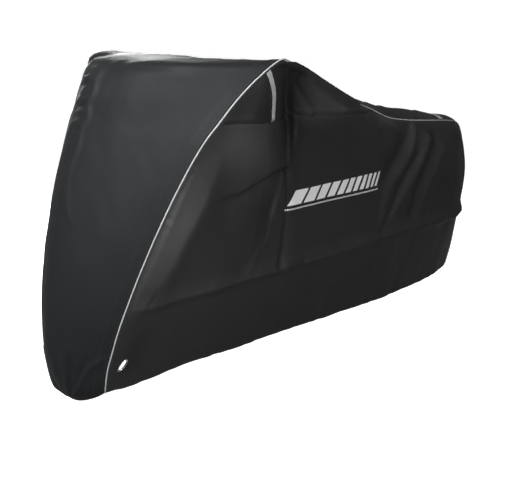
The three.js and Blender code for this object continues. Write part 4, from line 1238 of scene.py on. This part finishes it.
# The line on a panel at one distance from a seam, found by walking in from an edge.
def lineBeside(panel, fieldName, distance, edge):
    field = panel.fields[fieldName][0]
    points, normals = panel.rows, panel.normals
    if edge == "first":
        field, points, normals = field.T, points.transpose(1, 0, 2), normals.transpose(1, 0, 2)
    if edge == "end":
        field, points, normals = field[:, ::-1], points[:, ::-1], normals[:, ::-1]
    line, up = [], []
    for row in range(len(field)):
        beyond = np.nonzero(field[row] >= distance)[0]
        if len(beyond) == 0 or beyond[0] == 0 or beyond[0] > 40:
            continue
        index = beyond[0]
        low, high = field[row, index - 1], field[row, index]
        part = (distance - low) / (high - low)
        line.append(lerp(points[row, index - 1], points[row, index], part))
        up.append(lerp(normals[row, index - 1], normals[row, index], part))
    return np.array(line), np.array(up)


def stitchesAlong(line, up, thickness):
    lengths = lengthsAlong(line)
    middles = np.arange(sewing["pitch"], lengths[-1] - sewing["pitch"], sewing["pitch"])
    centre, normal = between(middles, lengths, line), unit(between(middles, lengths, up))
    along = unit(between(middles + 1, lengths, line) - between(middles - 1, lengths, line))
    across = np.cross(along, normal)
    lift = thickness / 2 - sewing["sink"]
    half, radius = sewing["length"] / 2, sewing["radius"]
    vertices = []
    for reachAlong, swell in ((-1, 0.0), (-0.6, 1.0), (0.6, 1.0), (1, 0.0)):
        base = centre + along * half * reachAlong + normal * (lift - (0.5 * radius if swell == 0 else 0))
        if swell == 0:
            vertices.append(base)
            continue
        for angle in np.arange(6) * np.pi / 3:
            vertices.append(base + radius * (math.cos(angle) * across + math.sin(angle) * normal))
    vertices = np.stack(vertices, axis=1)  # start, six, six, end
    faces = []
    for corner in range(6):
        after = (corner + 1) % 6
        faces += [(0, 1 + corner, 1 + after), (1 + corner, 7 + corner, 7 + after, 1 + after),
                  (13, 7 + after, 7 + corner)]
    return vertices.reshape(-1, 3), faces, len(centre)


def makeSewing(name, panel, lines):
    allVertices, allFaces, start = [], [], 0
    for fieldName, distance, edge in lines:
        edges = ("start", "end") if edge == "columns" else (edge,)
        for oneEdge in edges:
            line, up = lineBeside(panel, fieldName, distance, oneEdge)
            if len(line) < 8:
                continue
            vertices, faces, count = stitchesAlong(line, up, shape["clothThickness"])
            allVertices.append(vertices)
            for stitch in range(count):
                base = start + stitch * 14
                allFaces += [tuple(base + corner for corner in face) for face in faces]
            start += count * 14
    return newObject(name, np.vstack(allVertices), allFaces)


for panelName, lines in sewingLines.items():
    if panelName in ("front", "top"):
        pieces["sewing" + panelName.capitalize()] = makeSewing(
            "sewing" + panelName.capitalize(), outerPanels[panelName], lines)
        continue
    for sideName in sides:
        name = panelName + sideName.capitalize()
        pieces["sewing" + name[0].upper() + name[1:]] = makeSewing(
            "sewing" + name[0].upper() + name[1:], outerPanels[name], lines)
print("sewing done:", sum("sewing" in name for name in pieces), "pieces of stitching")


# Shader groups
def newGroup(name, inputs, outputs):
    group = bpy.data.node_groups.new(name, "ShaderNodeTree")
    for socketName, kind, default in inputs:
        socket = group.interface.new_socket(socketName, in_out="INPUT", socket_type=kind)
        socket.default_value = default
    for socketName, kind in outputs:
        group.interface.new_socket(socketName, in_out="OUTPUT", socket_type=kind)
    return group, group.nodes.new("NodeGroupInput"), group.nodes.new("NodeGroupOutput")


def addNode(tree, kind, settings=None, **inputs):
    node = tree.nodes.new(kind)
    for key, value in (settings or {}).items():
        setattr(node, key, value)
    for key, value in inputs.items():
        socket = node.inputs[int(key[1:]) if key[0] == "i" and key[1:].isdigit() else key]
        if isinstance(value, bpy.types.NodeSocket):
            tree.links.new(value, socket)
        else:
            socket.default_value = value
    return node


# Spreads a value between two others.
def ranged(tree, value, low, high, fromLow=0.0, fromHigh=1.0):
    node = addNode(tree, "ShaderNodeMapRange", Value=value)
    limits = {"From Min": fromLow, "From Max": fromHigh, "To Min": low, "To Max": high}
    for name, limit in limits.items():
        node.inputs[name].default_value = limit
    return node.outputs[0]


# One colour or the other, and what is between them.
def mixedColor(tree, part, low, high):
    return addNode(tree, "ShaderNodeMix", {"data_type": "RGBA"}, i0=part, i6=low, i7=high).outputs[2]


def mathNode(tree, operation, *values):
    settings = {"operation": operation}
    inputs = {f"i{index}": value for index, value in enumerate(values)}
    return addNode(tree, "ShaderNodeMath", settings, **inputs).outputs[0]


# Plain weave over the flat cloth: threads that pass over and under each other.
def makeWeaveGroup():
    group, given, result = newGroup(
        "plainWeave",
        [("Pitch", "NodeSocketFloat", 0.0007)],
        [("Height", "NodeSocketFloat")],
    )
    cloth = addNode(group, "ShaderNodeUVMap", {"uv_map": "cloth"})
    place = addNode(group, "ShaderNodeSeparateXYZ", Vector=cloth.outputs[0])
    waves = []
    for axis in range(2):
        turns = mathNode(group, "DIVIDE", place.outputs[axis], given.outputs["Pitch"])
        waves.append(mathNode(group, "SINE", mathNode(group, "MULTIPLY", turns, math.pi)))
    warp, weft = (mathNode(group, "ABSOLUTE", wave) for wave in waves)
    over = mathNode(group, "GREATER_THAN", mathNode(group, "MULTIPLY", *waves), 0.0)
    height = addNode(group, "ShaderNodeMix", {"data_type": "FLOAT"}, Factor=over, i2=warp, i3=weft)
    group.links.new(height.outputs[0], result.inputs["Height"])
    return group


# Soft creases of thin coated cloth, in two sizes.
def makeCrinkleGroup():
    group, given, result = newGroup(
        "softCrinkle",
        [("Size", "NodeSocketFloat", 22.0), ("Sharpness", "NodeSocketFloat", 0.5)],
        [("Height", "NodeSocketFloat"), ("Patches", "NodeSocketFloat")],
    )
    coordinates = addNode(group, "ShaderNodeTexCoord")
    spot = coordinates.outputs["Object"]
    broad = addNode(group, "ShaderNodeTexNoise", {"noise_dimensions": "3D"},
                    Vector=spot, Scale=given.outputs["Size"], Detail=3.0, Distortion=0.6)
    folded = mathNode(group, "ABSOLUTE", mathNode(group, "SUBTRACT", broad.outputs[0], 0.5))
    ridge = mathNode(group, "POWER", mathNode(group, "MULTIPLY", folded, 2.0), given.outputs["Sharpness"])
    fine = addNode(group, "ShaderNodeTexNoise", Vector=spot, Scale=140.0, Detail=2.0)
    height = mathNode(group, "ADD", ridge, mathNode(group, "MULTIPLY", fine.outputs[0], 0.12))
    group.links.new(height, result.inputs["Height"])
    patches = addNode(group, "ShaderNodeTexNoise", Vector=spot, Scale=4.0, Detail=4.0)
    group.links.new(patches.outputs[0], result.inputs["Patches"])
    return group


# Cloth colour: uneven dye, paler where it rubs beside the piping, times each point's painted light and
# shade; another colour inside.
def makeToneGroup():
    group, given, result = newGroup(
        "clothTone",
        [("Color", "NodeSocketColor", (0.03, 0.03, 0.03, 1)),
         ("Lining", "NodeSocketColor", (0.02, 0.02, 0.02, 1)),
         ("Unevenness", "NodeSocketFloat", 0.15), ("Rub", "NodeSocketFloat", 0.3)],
        [("Color", "NodeSocketColor"), ("Matt", "NodeSocketFloat")],
    )
    coordinates = addNode(group, "ShaderNodeTexCoord")
    spot = coordinates.outputs["Object"]
    broad = addNode(group, "ShaderNodeTexNoise", Vector=spot, Scale=2.6, Detail=3.0)
    fine = addNode(group, "ShaderNodeTexNoise", Vector=spot, Scale=900.0, Detail=1.0)
    shade = mathNode(group, "ADD", mathNode(group, "MULTIPLY", mathNode(
        group, "SUBTRACT", broad.outputs[0], 0.5), given.outputs["Unevenness"]), 1.0)
    grain = mathNode(group, "ADD", mathNode(group, "MULTIPLY", mathNode(
        group, "SUBTRACT", fine.outputs[0], 0.5), 0.5), 1.0)
    distance = addNode(group, "ShaderNodeAttribute", {"attribute_name": "pipingDistance"})
    rub = ranged(group, distance.outputs["Fac"], 1.0, 0.0, 0.0, 0.012)
    paler = mathNode(group, "ADD", mathNode(group, "MULTIPLY", rub, given.outputs["Rub"]), 1.0)
    # Each point's painted light and shade, from the sheet's attribute.
    place = addNode(group, "ShaderNodeAttribute", {"attribute_name": "paintedShade"})
    total = mathNode(group, "MULTIPLY", mathNode(
        group, "MULTIPLY", mathNode(group, "MULTIPLY", shade, grain), paler), place.outputs["Fac"])
    outside = addNode(group, "ShaderNodeVectorMath", {"operation": "SCALE"}, i0=given.outputs["Color"])
    group.links.new(total, outside.inputs["Scale"])
    inside = addNode(group, "ShaderNodeAttribute", {"attribute_name": "inside"})
    isInside = mathNode(group, "GREATER_THAN", inside.outputs["Fac"], 0.5)
    color = mixedColor(group, isInside, outside.outputs[0], given.outputs["Lining"])
    group.links.new(color, result.inputs["Color"])
    matt = addNode(group, "ShaderNodeTexNoise", Vector=spot, Scale=7.0, Detail=3.0)
    group.links.new(matt.outputs[0], result.inputs["Matt"])
    return group


weaveGroup, crinkleGroup, toneGroup = makeWeaveGroup(), makeCrinkleGroup(), makeToneGroup()


def newMaterial(name):
    material = bpy.data.materials.new(name)
    material.use_nodes = True
    tree = material.node_tree
    return material, tree, tree.nodes["Principled BSDF"]


def useGroup(tree, group, **values):
    node = tree.nodes.new("ShaderNodeGroup")
    node.node_tree = group
    for key, value in values.items():
        node.inputs[key].default_value = value
    return node


liningColor = (0.018, 0.018, 0.019, 1)
weavePitch = 0.0007  # metres
cloths = {
    "frontCloth": {
        "color": (0.0127, 0.0141, 0.0150, 1), "rough": (0.50, 0.62),
        "gloss": 0.16, "sheen": 0.02, "crinkle": 0.10,
    },
    "sideCloth": {
        "color": (0.0215, 0.0215, 0.022, 1), "rough": (0.42, 0.54),
        "gloss": 0.48, "sheen": 0.01, "crinkle": 0.22,
    },
}


def makeClothMaterial(name, look):
    material, tree, shader = newMaterial(name)
    tone = useGroup(tree, toneGroup, Color=look["color"], Lining=liningColor)
    tree.links.new(tone.outputs["Color"], shader.inputs["Base Color"])
    tree.links.new(ranged(tree, tone.outputs["Matt"], *look["rough"], 0.3, 0.7), shader.inputs["Roughness"])
    shader.inputs["Specular IOR Level"].default_value = look["gloss"]
    shader.inputs["Sheen Weight"].default_value = look["sheen"]
    shader.inputs["Sheen Roughness"].default_value = 0.45
    weave = useGroup(tree, weaveGroup, Pitch=weavePitch)
    crinkle = useGroup(tree, crinkleGroup, Size=22.0, Sharpness=0.7)
    weaveBump = addNode(tree, "ShaderNodeBump", Strength=0.35, Distance=0.00012,
                        Height=weave.outputs["Height"])
    crinkleBump = addNode(tree, "ShaderNodeBump", Strength=look["crinkle"], Distance=0.0016,
                          Height=crinkle.outputs["Height"], Normal=weaveBump.outputs[0])
    tree.links.new(crinkleBump.outputs[0], shader.inputs["Normal"])
    return material


def makePipingMaterial():
    material, tree, shader = newMaterial("pipingTape")
    cloth = addNode(tree, "ShaderNodeUVMap", {"uv_map": "cloth"})
    wave = addNode(tree, "ShaderNodeTexWave", {"wave_type": "BANDS", "bands_direction": "DIAGONAL"},
                   Vector=cloth.outputs[0], Scale=420.0, Distortion=1.5, Detail=1.0)
    soil = addNode(tree, "ShaderNodeTexNoise", Vector=cloth.outputs[0], Scale=30.0, Detail=3.0)
    color = mixedColor(tree, soil.outputs[0], (0.36, 0.37, 0.375, 1), (0.54, 0.55, 0.56, 1))
    tree.links.new(color, shader.inputs["Base Color"])
    tree.links.new(ranged(tree, wave.outputs["Fac"], 0.35, 0.6), shader.inputs["Roughness"])
    bump = addNode(tree, "ShaderNodeBump", Strength=0.4, Distance=0.0002, Height=wave.outputs["Fac"])
    tree.links.new(bump.outputs[0], shader.inputs["Normal"])
    return material


def makeTapeMaterial(name, low, high):
    material, tree, shader = newMaterial(name)
    cloth = addNode(tree, "ShaderNodeUVMap", {"uv_map": "cloth"})
    beads = addNode(tree, "ShaderNodeTexVoronoi", Vector=cloth.outputs[0], Scale=1400.0)
    wear = addNode(tree, "ShaderNodeTexNoise", Vector=cloth.outputs[0], Scale=60.0, Detail=4.0)
    tree.links.new(mixedColor(tree, wear.outputs[0], low, high), shader.inputs["Base Color"])
    tree.links.new(ranged(tree, beads.outputs["Distance"], 0.28, 0.5), shader.inputs["Roughness"])
    bump = addNode(tree, "ShaderNodeBump", Strength=0.25, Distance=0.0001, Height=beads.outputs["Distance"])
    tree.links.new(bump.outputs[0], shader.inputs["Normal"])
    return material


def makeThreadMaterial():
    material, tree, shader = newMaterial("sewingThread")
    coordinates = addNode(tree, "ShaderNodeTexCoord")
    shade = addNode(tree, "ShaderNodeTexNoise", Vector=coordinates.outputs["Object"], Scale=300.0)
    color = mixedColor(tree, shade.outputs[0], (0.022, 0.022, 0.023, 1), (0.05, 0.05, 0.052, 1))
    tree.links.new(color, shader.inputs["Base Color"])
    shader.inputs["Roughness"].default_value = 0.5
    return material


def makeMetalMaterial():
    material, tree, shader = newMaterial("eyeletMetal")
    coordinates = addNode(tree, "ShaderNodeTexCoord")
    spot = coordinates.outputs["Object"]
    scratches = addNode(tree, "ShaderNodeTexNoise", Vector=spot, Scale=900.0, Detail=3.0)
    dull = addNode(tree, "ShaderNodeTexNoise", Vector=spot, Scale=120.0, Detail=3.0)
    color = mixedColor(tree, dull.outputs[0], (0.62, 0.66, 0.7, 1), (0.86, 0.89, 0.92, 1))
    tree.links.new(color, shader.inputs["Base Color"])
    shader.inputs["Metallic"].default_value = 1.0
    tree.links.new(ranged(tree, dull.outputs[0], 0.12, 0.34), shader.inputs["Roughness"])
    bump = addNode(tree, "ShaderNodeBump", Strength=0.1, Distance=0.0001, Height=scratches.outputs[0])
    tree.links.new(bump.outputs[0], shader.inputs["Normal"])
    return material


materials = {name: makeClothMaterial(name, look) for name, look in cloths.items()}
materials.update({
    "piping": makePipingMaterial(),
    "tape": makeTapeMaterial("reflectiveTape", (0.42, 0.44, 0.45, 1), (0.58, 0.6, 0.61, 1)),
    "print": makeTapeMaterial("reflectivePrint", (0.78, 0.79, 0.8, 1), (0.9, 0.9, 0.9, 1)),
    "thread": makeThreadMaterial(),
    "metal": makeMetalMaterial(),
})

# Which finish each piece takes, its slot, and the nodes that it stands for.
finishes = {
    "frontPanel": ("frontCloth", "front_cloth", ["front_panel"]),
    "topPanel": ("sideCloth", "side_cloth", ["top_panel"]),
    "tailStrip": ("tape", "reflective_tape", ["tail_strip"]),
    "sideBars": ("print", "reflective_tape", []),
    "sewingFront": ("thread", "front_cloth", []),
    "sewingTop": ("thread", "side_cloth", []),
}
for sideName in sides:
    ending = sideName.capitalize()
    finishes["skirt" + ending] = (
        "sideCloth", "side_cloth", [f"skirt_{sideName}", f"eyelet_strip_{sideName}"])
    finishes["side" + ending] = ("sideCloth", "side_cloth", [f"side_{sideName}"])
    finishes["shoulder" + ending] = ("sideCloth", "side_cloth", [f"shoulder_{sideName}"])
    finishes["piping" + ending] = ("piping", "piping", [f"piping_{sideName}"])
    finishes["shoulderStrip" + ending] = ("tape", "reflective_tape", [f"shoulder_strip_{sideName}"])
    finishes["eyelet" + ending] = ("metal", "eyelet_metal", [f"eyelet_{sideName}"])
    for panelName in ("Skirt", "Side", "Shoulder"):
        finishes["sewing" + panelName + ending] = ("thread", "side_cloth", [])
for name, piece in pieces.items():
    finish, slot, nodes = finishes[name]
    piece.data.materials.clear()
    piece.data.materials.append(materials[finish])
    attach(piece, "root")
    if nodes:
        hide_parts(*nodes)

for sideName in sides:
    ending = sideName.capitalize()
print("pieces fitted to the frame")


# Floor, light and camera
stage = {
    "floor": -0.085,  # the cover hangs this far above the ground
    "floorRadius": 40.0,
    "floorSeen": 0.9,
    "floorBounce": 0.18,  # the share of light that the floor throws back up at the cloth
    "floorGlow": 0.85,
    "backdrop": 1.0,
    "skyTop": 0.21,
    "skyLow": 0.044,
}
lights = {
    # place, aim, size, power
    "front": ((-2.2, -0.2, 2.3), (-0.4, 0.0, 0.7), 1.0, 52),
    "graze": ((-3.0, -1.1, 1.1), (-0.3, -0.3, 0.6), 0.8, 5),
    "near": ((-1.6, -1.7, 1.5), (-0.5, -0.3, 0.6), 0.8, 18),
    "low": ((-0.6, -2.9, 0.75), (-0.3, -0.3, 0.55), 1.0, 2.6),
    "far": ((-5.5, -6.0, 5.8), (-0.2, -0.2, 0.6), 2.0, 300),
    "back": ((1.0, 3.0, 1.2), (0.0, 0.2, 0.5), 1.4, 130),
}
view = {
    "place": (-2.16629, -2.26247, 1.16697),
    "azimuth": -42.0,
    "down": 14.513,
    "lens": 837.13 * 36 / 515,  # in millimetres on a 36 mm sensor
}


def makeFloor():
    bpy.ops.object.select_all(action="DESELECT")
    bpy.ops.mesh.primitive_circle_add(
        vertices=96, radius=stage["floorRadius"], fill_type="NGON", location=(0, 0, stage["floor"]))
    floor = bpy.context.object
    floor.name = "floor"
    bpy.ops.object.transform_apply(location=True, rotation=True, scale=True)
    material, tree, shader = newMaterial("paleFloor")
    coordinates = addNode(tree, "ShaderNodeTexCoord")
    noise = addNode(tree, "ShaderNodeTexNoise", Vector=coordinates.outputs["Object"], Scale=3.0, Detail=4.0)
    seen = ranged(tree, noise.outputs[0], stage["floorSeen"] - 0.01, stage["floorSeen"] + 0.01)
    path = addNode(tree, "ShaderNodeLightPath")
    tone = addNode(tree, "ShaderNodeMix", {"data_type": "FLOAT"}, i2=stage["floorBounce"], i3=seen)
    tree.links.new(path.outputs["Is Camera Ray"], tone.inputs[0])
    tree.links.new(tone.outputs[0], shader.inputs["Base Color"])
    shader.inputs["Emission Color"].default_value = (1, 1, 1, 1)
    glow = mathNode(tree, "MULTIPLY", path.outputs["Is Camera Ray"], stage["floorGlow"])
    tree.links.new(glow, shader.inputs["Emission Strength"])
    shader.inputs["Roughness"].default_value = 0.9
    shader.inputs["Specular IOR Level"].default_value = 0.0
    floor.data.materials.append(material)


# A white backdrop behind the cover, while the light on it comes softly from above.
def makeWorld():
    world = bpy.data.worlds.new("softStudio")
    world.use_nodes = True
    tree = world.node_tree
    direction = addNode(tree, "ShaderNodeTexCoord").outputs["Generated"]
    height = addNode(tree, "ShaderNodeSeparateXYZ", Vector=direction).outputs["Z"]
    sky = ranged(tree, height, stage["skyLow"], stage["skyTop"], fromLow=-0.1)
    path = addNode(tree, "ShaderNodeLightPath")
    strength = addNode(tree, "ShaderNodeMix", {"data_type": "FLOAT"}, i2=sky, i3=stage["backdrop"])
    tree.links.new(path.outputs["Is Camera Ray"], strength.inputs[0])
    tree.links.new(strength.outputs[0], tree.nodes["Background"].inputs["Strength"])
    tree.nodes["Background"].inputs["Color"].default_value = (1, 1, 1, 1)
    bpy.context.scene.world = world


def makeLights():
    for name, (place, aim, size, power) in lights.items():
        bpy.ops.object.light_add(type="AREA", location=place)
        light = bpy.context.object
        light.name = name + "Light"
        light.rotation_euler = (Vector(aim) - Vector(place)).to_track_quat("-Z", "Y").to_euler()
        light.data.shape = "DISK"
        light.data.size = size
        light.data.energy = power
        light.visible_camera = False


def makeCamera():
    bpy.ops.object.camera_add(location=view["place"])
    camera = bpy.context.object
    camera.name = "camera"
    turn, down = math.radians(view["azimuth"]), math.radians(view["down"])
    forward = Vector((-math.sin(turn) * math.cos(down), math.cos(turn) * math.cos(down), -math.sin(down)))
    camera.rotation_euler = forward.to_track_quat("-Z", "Y").to_euler()
    camera.data.sensor_width = 36.0
    camera.data.lens = view["lens"]
    bpy.context.scene.camera = camera


makeFloor()
makeWorld()
makeLights()
makeCamera()
bpy.context.scene.view_settings.view_transform = "Standard"
print("stage, lights and camera set")
